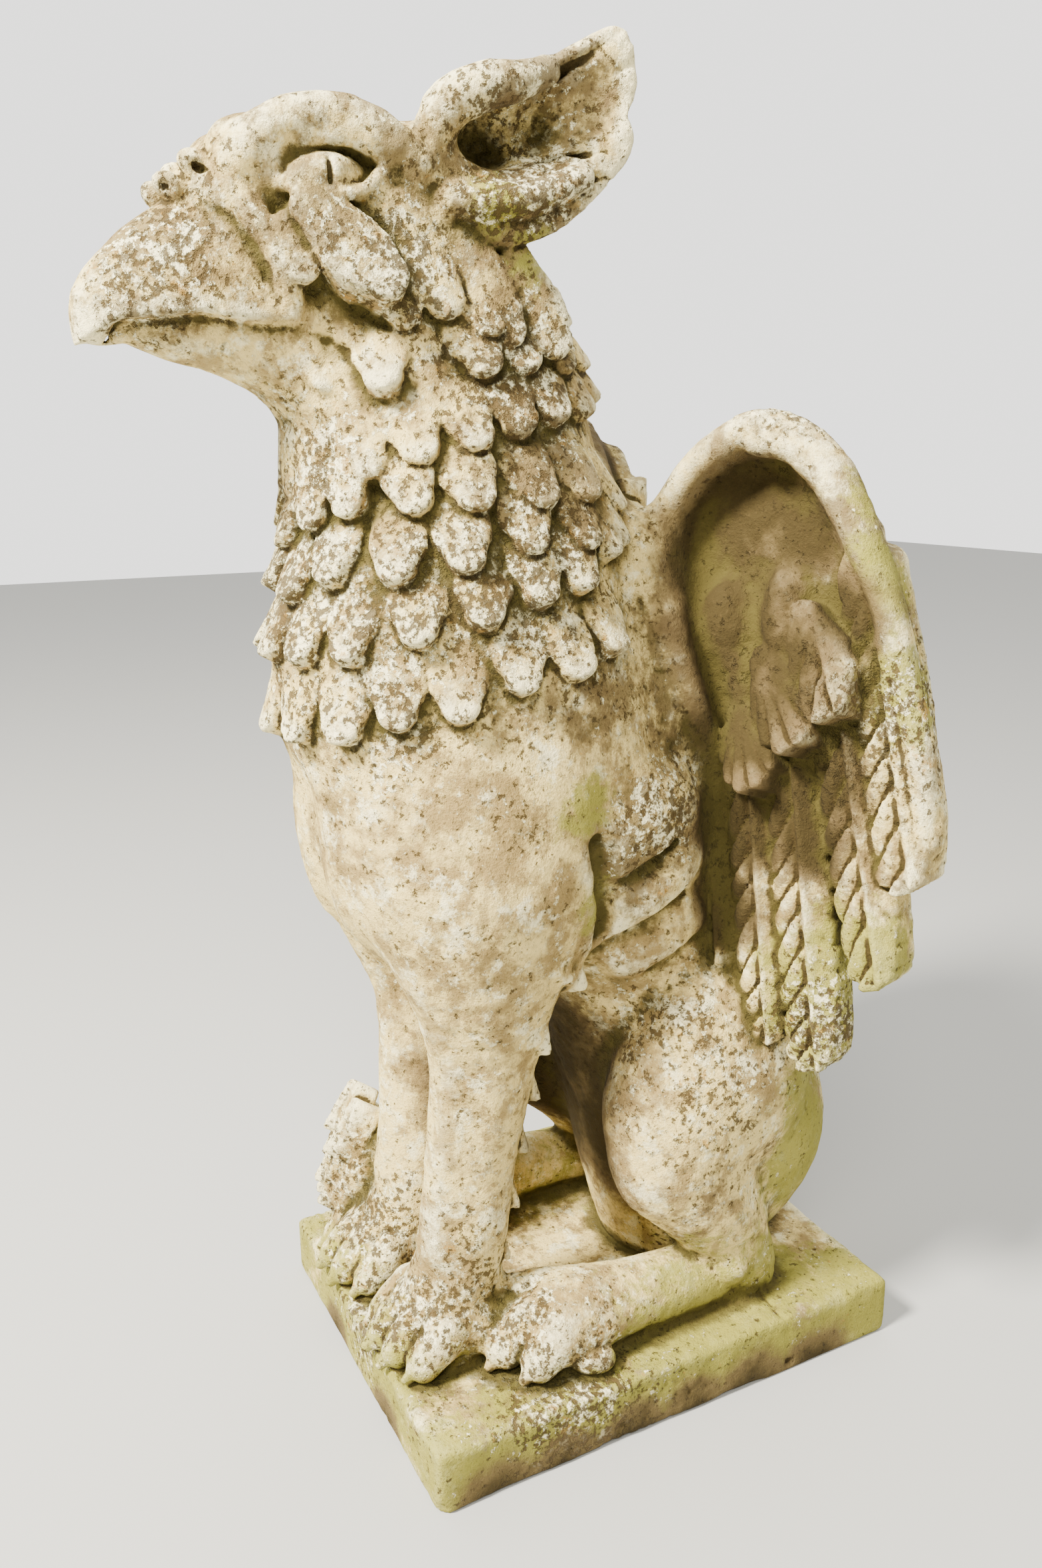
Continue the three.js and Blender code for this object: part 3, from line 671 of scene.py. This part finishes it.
# Long feather: a shaft towards its outer side and slanting barbs that overlap like scales
def quillFace(side, width):
    def crown(v, u):
        w = u * -side
        sawIn, sawOut = barbSaws(v, w)
        shaft = w - width * 0.22
        ridge = 3.0 * np.exp(-(shaft / 2.6) ** 2) - 3.4 * np.exp(-((shaft + 6.5) / 3) ** 2)
        inner = np.clip((width * 0.17 - w) / 7, 0, 1)
        outer = np.clip((w - width * 0.3) / 6, 0, 1)
        outer = outer * np.clip((width * 0.5 - w) / 7, 0, 1)
        fade = np.clip((v - 14) / 24, 0, 1)
        return ridge * fade - (8.5 * sawIn ** 3 * inner + 5.0 * sawOut ** 2 * outer) * fade
    return crown


def shaftFace(v, u):
    return 2.4 * np.exp(-(u / 2.8) ** 2)


def quillEdge(side):
    def notch(v, u):
        w = u * -side
        sawIn, sawOut = barbSaws(v, w)
        return np.where(w < 0, 4.5 * sawIn ** 4, 3.0 * sawOut ** 3)
    return notch


# Shell-like short feather with grooves that spread from its root and a wavy rim
def shellFace(length):
    def crown(v, u):
        fan = np.arctan2(u, v + length * 0.1)
        away = np.clip(v / length, 0, 1)
        return -7.0 * np.clip(np.cos(fan * 22), 0, 1) ** 2 * away ** 1.5
    return crown


def shellEdge(length):
    def notch(v, u):
        return 1.8 * np.cos(np.arctan2(u, v + length * 0.1) * 22) * np.clip(v / length, 0, 1)
    return notch


def layWing(side):
    join(bladeShape(side), 10)
    layForms(wing["shoulder"], side)
    arch = [[*wingPoint(side, run, height, step), w, d] for run, height, step, w, d in wing["arch"]]
    join(member(arch, hint=wingWay(side, 1, 0)), 28)
    for run, height, step, halfWidth, halfDeep, halfTall, lean in wing["muscles"]:
        join(lump(wingPoint(side, run, height, step), [halfWidth, halfDeep, halfTall],
                  [0, -side * lean, side * wing["sweep"]]), 14)
    face = wingWay(side, 0, 0, 1)
    for run, height, tipRun, tipHeight, width in wing["quills"]:
        length = math.hypot(tipRun - run, tipHeight - height)
        form = {**wing["quillForm"], "length": length, "width": width}
        join(leaf(wingPoint(side, run, height, -2), wingWay(side, tipRun - run, tipHeight - height),
                  face, form, quillFace(side, width), quillEdge(side)), 1.5)
    for k, (run, height, tipRun, tipHeight, width) in enumerate(wing["coverts"]):
        length = math.hypot(tipRun - run, tipHeight - height)
        form = {**wing["covertForm"], "length": length + 6, "width": width}
        down = wingWay(side, tipRun - run, tipHeight - height, 20)
        carving = quillFace(side, width) if k == 0 else shellFace(length)
        join(leaf(wingPoint(side, run, height, 8), down, face, form, carving, shellEdge(length)), 1.2)
    # plainer long feathers and three rows of short ones on the back
    for run, height, tipRun, tipHeight, width in wing["quills"]:
        length = math.hypot(tipRun - run, tipHeight - height)
        form = {**wing["backQuillForm"], "length": length - 6, "width": width - 2}
        join(leaf(wingPoint(side, run, height, -20), wingWay(side, tipRun - run, tipHeight - height),
                  -face, form, shaftFace), 2.0)
    for first, last, height, fall, count in wing["backRows"]:
        for k in range(count):
            run = first + (last - first) * k / (count - 1)
            root = wingPoint(side, run - 10, height - fall * k + 42, -20)
            join(leaf(root, wingWay(side, 16, -62, -8), -face, wing["backForm"], shaftFace), 1.5)
    # ragged barbs cut into the outer edge
    chance = np.random.default_rng(11)
    for k in range(wing["barbs"]):
        t = 0.5 * (k + 0.3 * chance.uniform(-1, 1)) / (wing["barbs"] - 1)
        run, height = 182 + 60 * math.sin(t * 1.5), 660 - 226 * t
        front, deep = 24 - 20 * t, chance.uniform(0.6, 1.0)
        stops = [[*wingPoint(side, run + 6 - 10 * deep, height + 4, front + 2), 1.5, 2],
                 [*wingPoint(side, run + 16, height - 8, front - 3), 3.2 * deep, 5],
                 [*wingPoint(side, run + 28, height - 20, front - 14), 5.0 * deep, 9]]
        carve(member(stops, hint=(0, 0, 1), steps=2), 3.5)


# Slab, its crack and its chips
slab = {
    "width": 0.277, "length": 0.360, "round": 5.0,
    "cracks": [[[118, 102, 1, 1.5, 2], [140, 107, 1, 1.8, 3], [158, 104, 1, 1.8, 3], [174, 108, -1, 2, 4],
                [172, 110, -26, 1.8, 4], [172, 108, -58, 1.5, 3]],
               [[124, 82, 1, 1.2, 2], [146, 78, 1, 1.5, 2], [160, 84, 1, 1.5, 2], [173, 92, -1, 1.5, 2]],
               [[172, -4, 0, 1.5, 2], [172, 2, -18, 1.5, 2], [172, 6, -36, 1.2, 2]]],
    "chips": [[172, 112, -46, 6, 6, 5], [171, 30, 0, 4, 14, 4], [171, -150, 0, 4, 20, 4],
              [100, -223, 0, 16, 4, 4], [-30, -223, 0, 22, 4, 3], [171, 170, 0, 5, 12, 5],
              [171, -223, -50, 8, 8, 8], [171, 60, -54, 4, 26, 5]],
}


halfX, halfY = slab["width"] / 2 / share, slab["length"] / 2 / share
slabHigh = figure["slabTop"] / share


def laySlab():
    halfZ = slabHigh / 2
    soft = slab["round"]

    def shape(x, y, z):
        qx, qy = np.abs(x) - halfX + soft, np.abs(y) - halfY + soft
        qz = np.abs(z + halfZ) - halfZ + soft
        away = np.sqrt(np.maximum(qx, 0) ** 2 + np.maximum(qy, 0) ** 2 + np.maximum(qz, 0) ** 2)
        return away + np.minimum(np.maximum(np.maximum(qx, qy), qz), 0) - soft
    join((np.array([-halfX, -halfY, -2 * halfZ]), np.array([halfX, halfY, 0.0]), shape), 5)


def wearSlab():
    for crack in slab["cracks"]:
        carve(member(crack, hint=(0, 1, 0), steps=2), 1.0)
    for x, y, z, wide, long, tall in slab["chips"]:
        carve(lump([x, y, z], [wide, long, tall]), 3)


# Wear of the cast stone: [size of the lumps, seed] and how far each stands out
wear = {"swell": [46, 3, 1.4], "lumps": [15, 4, 0.6], "parts": [70, 6, 1.6], "grit": [6.5, 5, 0.5],
        "pits": [5, 9, 2.2]}


def roughness(size, seed):
    chance = np.random.default_rng(seed)
    counts = [int(math.ceil((blockHigh[i] - blockLow[i]) / size)) + 3 for i in range(3)]
    field = chance.uniform(-1, 1, counts).astype(np.float32)
    for i in range(3):
        place = (axes[i] - blockLow[i]) / size
        low = place.astype(int)
        part = place - low
        part = part * part * (3 - 2 * part)
        row = [1, 1, 1]
        row[i] = -1
        part = part.reshape(row).astype(np.float32)
        field = np.take(field, low, axis=i) * (1 - part) + np.take(field, low + 1, axis=i) * part
    return field


def weather():
    global stone
    for part in ("swell", "lumps"):
        size, seed, proud = wear[part]
        stone += roughness(size, seed) * proud
    # shallow pits, more of them in some parts
    size, seed, strong = wear["parts"]
    gate = np.clip(roughness(size, seed) * strong + 0.7, 0.15, 1)
    size, seed, proud = wear["grit"]
    stone += roughness(size, seed) * proud * gate
    size, seed, deep = wear["pits"]
    stone += np.maximum(roughness(size, seed) - 0.3, 0) * deep * gate
    # the slab stays within its own size
    top = axes[2] < -1
    limitX = (np.abs(axes[0]) - halfX)[:, None, None]
    limitY = (np.abs(axes[1]) - halfY)[None, :, None]
    outer = np.maximum(np.maximum(limitX, limitY), (-slabHigh - axes[2][top])[None, None, :])
    stone[:, :, top] = np.maximum(stone[:, :, top], outer)


# Skin of the block as points and four-sided faces
def skinOf(field):
    solid = field < 0
    cells = np.full([n - 1 for n in field.shape], -1, dtype=np.int32)
    ends = {0: slice(0, -1), 1: slice(1, None)}
    total = sum(solid[ends[i], ends[j], ends[k]].astype(np.int8)
                for i in (0, 1) for j in (0, 1) for k in (0, 1))
    mixed = (total > 0) & (total < 8)
    where = np.argwhere(mixed)
    cells[mixed] = np.arange(len(where))
    sums = np.zeros((len(where), 3))
    counts = np.zeros(len(where))
    faces = []
    for axis in range(3):
        low = [slice(0, n) for n in field.shape]
        high = [slice(0, n) for n in field.shape]
        low[axis], high[axis] = slice(0, -1), slice(1, None)
        changes = np.argwhere(solid[tuple(low)] != solid[tuple(high)])
        ahead = changes.copy()
        ahead[:, axis] += 1
        a, b = field[tuple(changes.T)], field[tuple(ahead.T)]
        crossing = changes.astype(float)
        crossing[:, axis] += a / (a - b)
        one, two = [i for i in range(3) if i != axis]
        corners = []
        for backOne, backTwo in ((0, 0), (1, 0), (1, 1), (0, 1)):
            cell = changes.copy()
            cell[:, one] -= backOne
            cell[:, two] -= backTwo
            index = cells[tuple(cell.T)]
            corners.append(index)
            for k in range(3):
                sums[:, k] += np.bincount(index, crossing[:, k], len(where))
            counts += np.bincount(index, minlength=len(where))
        quad = np.stack(corners, axis=1)
        flip = (a < 0) == (axis == 1)
        quad[flip] = quad[flip][:, ::-1]
        faces.append(quad)
    return sums / counts[:, None] * grain + blockLow, np.concatenate(faces)


laySlab()
layBody()
for side in (1, -1):
    layHindLeg(side)
    layFrontLeg(side)
    layRibs(side)
    layWing(side)
print("body, legs and wings laid")
layTail()
for side in (1, -1):
    layFur(side)
layHead()
for side in (1, -1):
    layEar(side)
layBib()
for side in (1, -1):
    layCheeks(side)
print("head and feathers laid")
wearSlab()
weather()


# Value of a block at points between its corners
def sampled(field, points):
    place = np.clip((points - blockLow) / grain, 0, np.array(field.shape) - 1.001)
    low = place.astype(int)
    part = place - low
    total = np.zeros(len(points))
    for corner in ((i, j, k) for i in (0, 1) for j in (0, 1) for k in (0, 1)):
        weight = np.prod(np.where(corner, part, 1 - part), axis=1)
        total += weight * field[tuple((low + corner).T)]
    return total


# Level of shade in hollows, from how much stone stands round each point
def crowding(points, reach):
    solid = np.clip(0.5 - stone / (2 * grain), 0, 1)
    wide = max(1, int(round(reach / grain)))
    for axis in range(3):
        total = np.cumsum(solid, axis=axis, dtype=np.float32)
        n = total.shape[axis]
        ahead = np.minimum(np.arange(n) + wide, n - 1)
        behind = np.arange(n) - wide - 1
        upper = np.take(total, ahead, axis=axis)
        lower = np.take(total, np.maximum(behind, 0), axis=axis)
        keep = [1, 1, 1]
        keep[axis] = -1
        lower = lower * (behind >= 0).astype(np.float32).reshape(keep)
        solid = (upper - lower) / (2 * wide + 1)
    return sampled(solid, points)


# Way out at each point of a skin of four-sided faces
def waysOut(points, faces):
    a, b, c, d = [points[faces[:, k]] for k in range(4)]
    across = np.cross(c - a, d - b)
    ways = np.zeros_like(points)
    for k in range(4):
        for axis in range(3):
            ways[:, axis] += np.bincount(faces[:, k], across[:, axis], len(points))
    return ways / np.maximum(np.linalg.norm(ways, axis=1), 1e-9)[:, None]


def meshOf(name, points, faces, ways):
    mesh = bpy.data.meshes.new(name)
    metres = points * share
    metres[:, 2] += figure["slabTop"]
    mesh.vertices.add(len(metres))
    mesh.vertices.foreach_set("co", metres.astype(np.float32).ravel())
    mesh.loops.add(len(faces) * 4)
    mesh.loops.foreach_set("vertex_index", faces.astype(np.int32).ravel())
    mesh.polygons.add(len(faces))
    mesh.polygons.foreach_set("loop_start", np.arange(0, len(faces) * 4, 4, dtype=np.int32))
    mesh.update(calc_edges=True)
    mesh.shade_smooth()
    mesh.normals_split_custom_set_from_vertices(ways.astype(np.float32))
    piece = bpy.data.objects.new(name, mesh)
    bpy.context.scene.collection.objects.link(piece)
    return piece


def setLayer(piece, name, values):
    layer = piece.data.attributes.new(name, "FLOAT", "POINT")
    layer.data.foreach_set("value", np.asarray(values, dtype=np.float32))


# Soft spots of growth and shade: [x, y, z, reach], the same on both sides
growth = {
    "algae": [[70, -130, 520, 40], [122, -80, 470, 30], [118, -68, 400, 26], [100, 126, 330, 46],
              [112, 140, 200, 60], [110, 160, 120, 70], [150, 110, 330, 40], [190, 110, 300, 60],
              [216, 118, 350, 60], [250, 112, 560, 40], [240, 106, 640, 40], [225, 104, 700, 30],
              [168, 40, -30, 120], [168, 190, -20, 90], [120, 130, 0, 60], [60, -215, -40, 60],
              [-60, -215, -30, 80], [172, -150, -40, 70], [170, -220, -20, 60],
              [172, -60, -40, 60], [86, -120, 880, 22], [96, -90, 852, 26], [130, -60, 260, 30]],
    "lichen": [[60, -200, 620, 110], [30, -220, 700, 60], [50, -330, 850, 56], [84, -190, 840, 50],
               [96, -110, 900, 60], [100, 40, 230, 70], [150, 90, 760, 40], [226, 110, 540, 60],
               [196, 104, 280, 56], [110, -110, 640, 80], [56, -180, 40, 54], [80, -110, 770, 70],
               [110, -110, 30, 50], [118, 0, 460, 50], [0, -230, 640, 120], [-130, -180, 80, 60],
               [0, -200, 0, 50], [170, -100, 0, 60]],
    # spots of painted shade: under the wings' arches, under the belly, in the ears and along the slab's foot
    "paintedShade": [[120, 72, 600, 70], [140, 78, 520, 66], [112, 78, 690, 58], [84, 66, 664, 52],
                [156, 90, 668, 44],
                [184, 92, 560, 44], [60, 40, 628, 40], [128, 74, 440, 50], [180, 92, 440, 40],
                [110, 70, 370, 44], [60, 20, 190, 76], [0, -60, 200, 96], [92, -108, 922, 22],
                [98, -78, 932, 22], [102, -50, 946, 20], [172, -170, -64, 44], [172, -110, -64, 44],
                [172, -50, -64, 44], [172, 10, -64, 44], [172, 70, -64, 44], [172, 140, -64, 44],
                [60, -222, -60, 34], [60, 100, 40, 40], [172, 88, 575, 50], [205, 96, 610, 36],
                [150, 84, 470, 50], [190, 96, 490, 44], [40, -10, 130, 76], [30, -40, 60, 50]],
    # brown stains, and painted shade on the slab's sides and in the wings' hollows
    "stainAndShade": [[30, -250, 925, 54], [50, -200, 936, 50], [64, -174, 905, 44], [20, -330, 850, 56],
              [62, -240, 860, 50], [0, -240, 930, 50], [50, -340, 800, 40], [96, -110, 880, 64],
              [90, -80, 950, 50], [100, -90, 700, 80], [90, -110, 770, 60], [80, -150, 640, 60],
              [112, -30, 430, 60], [100, -70, 560, 60], [172, -160, -30, 70], [172, -70, -30, 70],
              [172, 30, -30, 70], [172, 120, -30, 70], [172, 210, -30, 60], [172, -20, -50, 80],
              [110, 30, 120, 50],
              [120, 60, 560, 110], [170, 90, 460, 90], [200, 96, 660, 60], [130, 84, 740, 50]],
}


def spread(points, spots):
    total = np.zeros(len(points))
    for x, y, z, reach in spots:
        for side in (1, -1):
            away = ((points - np.array([side * x, y, z])) ** 2).sum(axis=1)
            total = np.maximum(total, np.exp(-away / (reach * reach)))
    return total


points, faces = skinOf(stone)
ways = waysOut(points, faces)
layers = {"hollowNear": crowding(points, 6), "hollowMid": crowding(points, 14),
          "hollowWide": crowding(points, 34)}
for name, spots in growth.items():
    layers[name] = spread(points, spots)
# the painted shade under the arches lies only on the front of the wings
front = onWing(np.abs(points[:, 0]), points[:, 1])[1]
high = np.clip((points[:, 2] - 300) / 60, 0, 1)
layers["paintedShade"] *= 1 - high * np.clip((-front - 6) / 10, 0, 1)
print("skin", len(points), "points", len(faces), "faces")


# The stone's skin in level parts with as many faces in each, so that none is heavy
def layPieces(names):
    heights = points[faces].mean(axis=1)[:, 2]
    bounds = np.quantile(heights, np.linspace(0, 1, len(names) + 1))
    bounds[0], bounds[-1] = bounds[0] - 1, bounds[-1] + 1
    pieces = []
    for name, low, high in zip(names, bounds[:-1], bounds[1:]):
        own = faces[(heights > low) & (heights <= high)]
        used, renamed = np.unique(own, return_inverse=True)
        piece = meshOf(name, points[used], renamed.reshape(-1, 4), ways[used])
        for layer, values in layers.items():
            setLayer(piece, layer, values[used])
        pieces.append(piece)
    return pieces


pieces = layPieces(["griffin_base", "griffin_haunches", "griffin_breast", "griffin_neck", "griffin_head"])


# Weathered cast stone
# the darkest tones, and in part the one for stains, are painted shade for hollows and sheltered parts
finish = {
    "base": (0.74, 0.58, 0.220, 1), "warm": (0.31, 0.218, 0.080, 1), "creviceShade": (0.045, 0.030, 0.009, 1),
    "white": (0.95, 0.87, 0.52, 1), "ochre": (0.40, 0.22, 0.040, 1), "dark": (0.080, 0.052, 0.018, 1),
    "green": (0.29, 0.27, 0.045, 1), "mossyShade": (0.075, 0.060, 0.014, 1), "shadeBrown": (0.130, 0.088, 0.037, 1),
    "deepShade": (0.040, 0.028, 0.008, 1), "stainAndShade": (0.15, 0.102, 0.040, 1),
}


# Node sheet of a material or of the world
class Sheet:
    def __init__(self, owner):
        self.owner = owner
        owner.use_nodes = True
        self.tree = owner.node_tree
        self.tree.nodes.clear()

    def node(self, kind, inputs=None, **settings):
        made = self.tree.nodes.new(kind)
        for key, value in settings.items():
            setattr(made, key, value)
        for key, value in (inputs or {}).items():
            if isinstance(value, bpy.types.NodeSocket):
                self.tree.links.new(value, made.inputs[key])
            else:
                made.inputs[key].default_value = value
        return made

    def noise(self, where, scale, detail=4.0, rough=0.6, seed=0.0, tall=1.0):
        spot = self.node("ShaderNodeMapping", {"Vector": where, "Location": (seed, seed * 0.7, -seed),
                                               "Scale": (1, 1, 1 / tall)})
        return self.node("ShaderNodeTexNoise", {"Vector": spot.outputs[0], "Scale": scale,
                                                "Detail": detail, "Roughness": rough}).outputs["Fac"]

    def ramp(self, value, low, high, start=0.0, end=1.0):
        made = self.node("ShaderNodeMapRange", {"Value": value, "From Min": low, "From Max": high,
                                                "To Min": start, "To Max": end})
        made.interpolation_type = "SMOOTHSTEP"
        return made.outputs["Result"]

    def sum(self, kind, a, b):
        return self.node("ShaderNodeMath", {0: a, 1: b}, operation=kind).outputs[0]

    def blend(self, *parts):
        total = 0.0
        for value, weight in parts:
            total = self.sum("ADD", self.sum("MULTIPLY", value, weight), total)
        return total

    def mix(self, amount, a, b):
        return self.node("ShaderNodeMix", {0: amount, 6: a, 7: b}, data_type="RGBA").outputs[2]

    def finished(self, inputs, kind="BsdfPrincipled", goal="Material"):
        shader = self.node("ShaderNode" + kind, inputs)
        self.node("ShaderNodeOutput" + goal, {"Surface": shader.outputs[0]})
        return self.owner

    def layer(self, name):
        return self.node("ShaderNodeAttribute", attribute_name=name).outputs["Fac"]


def castStone():
    s = Sheet(bpy.data.materials.new("castStone"))
    where = s.node("ShaderNodeTexCoord").outputs["Object"]
    near, mid, wide = s.layer("hollowNear"), s.layer("hollowMid"), s.layer("hollowWide")
    algae, lichen = s.layer("algae"), s.layer("lichen")
    paintedShade, stainAndShade = s.layer("paintedShade"), s.layer("stainAndShade")

    def noise(scale, detail, rough, seed=0.0, tall=1.0):
        return s.noise(where, scale, detail, rough, seed, tall)

    # each coat lies over the last where its mask runs from low to high
    def coat(under, mask, low, high, most, tone):
        return s.mix(s.ramp(mask, low, high, 0, most), under, finish[tone])

    big, patch = noise(8, 5, 0.6), noise(34, 6, 0.68, 3)
    fine, grit = noise(150, 5, 0.75, 5), noise(520, 3, 0.7, 8)
    ground = s.blend((big, 0.45), (patch, 0.55), (lichen, 0.04))
    colour = coat(finish["base"], ground, 0.47, 0.58, 1.0, "warm")
    colour = coat(colour, s.blend((patch, 0.5), (fine, 0.5)), 0.50, 0.57, 0.8, "warm")
    # pale worn skin and painted highlight on what stands proud
    proud = s.blend((mid, -1.0), (noise(75, 6, 0.75, 31), 0.45))
    colour = coat(colour, proud, -0.24, -0.07, 0.8, "white")
    bleach = s.blend((noise(48, 6, 0.72, 41), 0.75), (fine, 0.25))
    colour = coat(colour, bleach, 0.52, 0.60, 0.75, "white")
    # rain runs, brown stains, and painted shade on the slab's sides and in the wings' hollows
    colour = coat(colour, noise(36, 6, 0.68, 53, 2.6), 0.53, 0.62, 0.72, "warm")
    spotted = s.blend((stainAndShade, 0.30), (noise(60, 6, 0.75, 61), 0.8), (patch, 0.2))
    colour = coat(colour, spotted, 0.60, 0.76, 0.85, "stainAndShade")
    # growth: green first, then pale crusts, ochre spots and dark pits
    green = s.blend((algae, 0.52), (noise(30, 6, 0.8, 11), 0.8), (noise(120, 5, 0.75, 13), 0.5))
    colour = coat(colour, green, 0.80, 1.02, 0.88, "green")
    crust = s.blend((lichen, 0.13), (noise(150, 5, 0.75, 17), 0.76), (noise(22, 4, 0.6, 19), 0.28))
    colour = coat(colour, crust, 0.62, 0.67, 0.92, "white")
    gold = s.blend((lichen, 0.08), (noise(64, 5, 0.7, 23), 1.0))
    colour = coat(colour, gold, 0.66, 0.72, 0.7, "ochre")
    pits = s.blend((lichen, 0.13), (noise(210, 4, 0.7, 29), 0.80), (noise(24, 4, 0.65, 37), 0.26))
    colour = coat(colour, pits, 0.635, 0.685, 0.92, "dark")
    # painted shade under the wings' arches and where the stone closes in
    colour = coat(colour, s.blend((paintedShade, 0.8), (patch, 0.45)), 0.40, 0.66, 0.92, "shadeBrown")
    # near-black painted shade in the deepest sheltered parts
    colour = coat(colour, s.blend((paintedShade, 0.6), (wide, 0.6), (patch, 0.5)), 0.76, 1.02, 0.95, "deepShade")
    # painted shade darkens the narrow gaps between the carved forms
    colour = coat(colour, s.blend((near, 1.0), (fine, 0.25)), 0.65, 0.735, 0.96, "creviceShade")
    # painted shade with a slight green darkens the wider hollows
    colour = coat(colour, s.blend((mid, 0.75), (wide, 0.25), (patch, 0.4)), 0.71, 0.85, 0.88, "mossyShade")
    colour = coat(colour, grit, 0.56, 0.70, 0.5, "dark")
    height = s.blend((fine, 0.8), (grit, 0.45), (s.ramp(crust, 0.62, 0.67), 0.3),
                     (s.ramp(pits, 0.61, 0.70), -0.9))
    bump = s.node("ShaderNodeBump", {"Height": height, "Strength": 0.8, "Distance": 0.0026})
    return s.finished({"Base Color": colour, "Roughness": 0.93, "Specular IOR Level": 0.15,
                       "Normal": bump.outputs[0]})


material = castStone()
for piece in pieces:
    piece.data.materials.append(material)
    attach(piece, "root")
    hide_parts("griffin_statue")
print("stone finished")


# Pale floor, soft light and the camera
room = {"floor": (0.42, 0.42, 0.40, 1), "world": (1.0, 0.99, 0.96, 1), "wall": (-0.86, 0.44, 0.25),
        "strength": (0.35, 2.2),
        # each lamp's place, the height it points at, its size, power and colour
        "lamps": {"key": [(0.35, -1.9, 2.3), 0.45, 0.55, 370, (1.0, 0.95, 0.85)],
                  "fill": [(1.9, -1.2, 2.5), 0.4, 1.0, 90, (1.0, 0.97, 0.90)]},
        "floorReach": 6.0}


def layFloor():
    half = room["floorReach"]
    mesh = bpy.data.meshes.new("floor")
    corners = [(-half, -half, 0), (half, -half, 0), (half, half, 0), (-half, half, 0)]
    mesh.from_pydata(corners, [], [(0, 1, 2, 3)])
    floor = bpy.data.objects.new("floor", mesh)
    bpy.context.scene.collection.objects.link(floor)
    paint = Sheet(bpy.data.materials.new("floorPaint"))
    mesh.materials.append(paint.finished({"Base Color": room["floor"], "Roughness": 0.8}))


def aimed(right, up, back, place):
    turn = Matrix([[right[i], up[i], back[i]] for i in range(3)]).to_4x4()
    return Matrix.Translation(place) @ turn


def lamp(name, place, target, size, power, colour):
    light = bpy.data.lights.new(name, "AREA")
    light.shape = "DISK"
    light.size = size
    light.energy = power
    light.color = colour
    holder = bpy.data.objects.new(name, light)
    bpy.context.scene.collection.objects.link(holder)
    back = unit(np.array(place) - np.array(target))
    right = unit(np.cross([0, 0, 1], back))
    up = np.cross(back, right)
    holder.matrix_world = aimed(right, up, back, place)


def light():
    # a white wall behind the statue and a dim room on the other side
    s = Sheet(bpy.data.worlds.new("room"))
    where = s.node("ShaderNodeTexCoord").outputs["Generated"]
    toWall = s.node("ShaderNodeVectorMath", {0: where, 1: room["wall"]}, operation="DOT_PRODUCT")
    dim, bright = room["strength"]
    strength = s.node("ShaderNodeMapRange", {"Value": toWall.outputs["Value"], "From Min": -0.1,
                                             "From Max": 0.5, "To Min": dim, "To Max": bright})
    bpy.context.scene.world = s.finished({"Color": room["world"], "Strength": strength.outputs["Result"]},
                                         "Background", "World")
    for name, (place, height, size, power, colour) in room["lamps"].items():
        lamp(name, place, (0, 0, height), size, power, colour)


camera = {"place": (0.7029, -0.4145, 0.6315), "azimuth": 62.51, "pitch": 15.16, "roll": -0.37, "lens": 28.23}


def placeCamera():
    a, e, r = [math.radians(camera[k]) for k in ("azimuth", "pitch", "roll")]
    back = np.array([math.sin(a) * math.cos(e), -math.cos(a) * math.cos(e), math.sin(e)])
    right = np.array([math.cos(a), math.sin(a), 0.0])
    up = np.cross(back, right)
    across = math.cos(r) * right + math.sin(r) * up
    upright = -math.sin(r) * right + math.cos(r) * up
    view = bpy.data.cameras.new("camera")
    view.lens = camera["lens"]
    view.sensor_width = 36
    view.clip_start = 0.02
    holder = bpy.data.objects.new("camera", view)
    bpy.context.scene.collection.objects.link(holder)
    holder.matrix_world = aimed(across, upright, back, camera["place"])
    bpy.context.scene.camera = holder


layFloor()
light()
placeCamera()
print("floor, light and camera set")
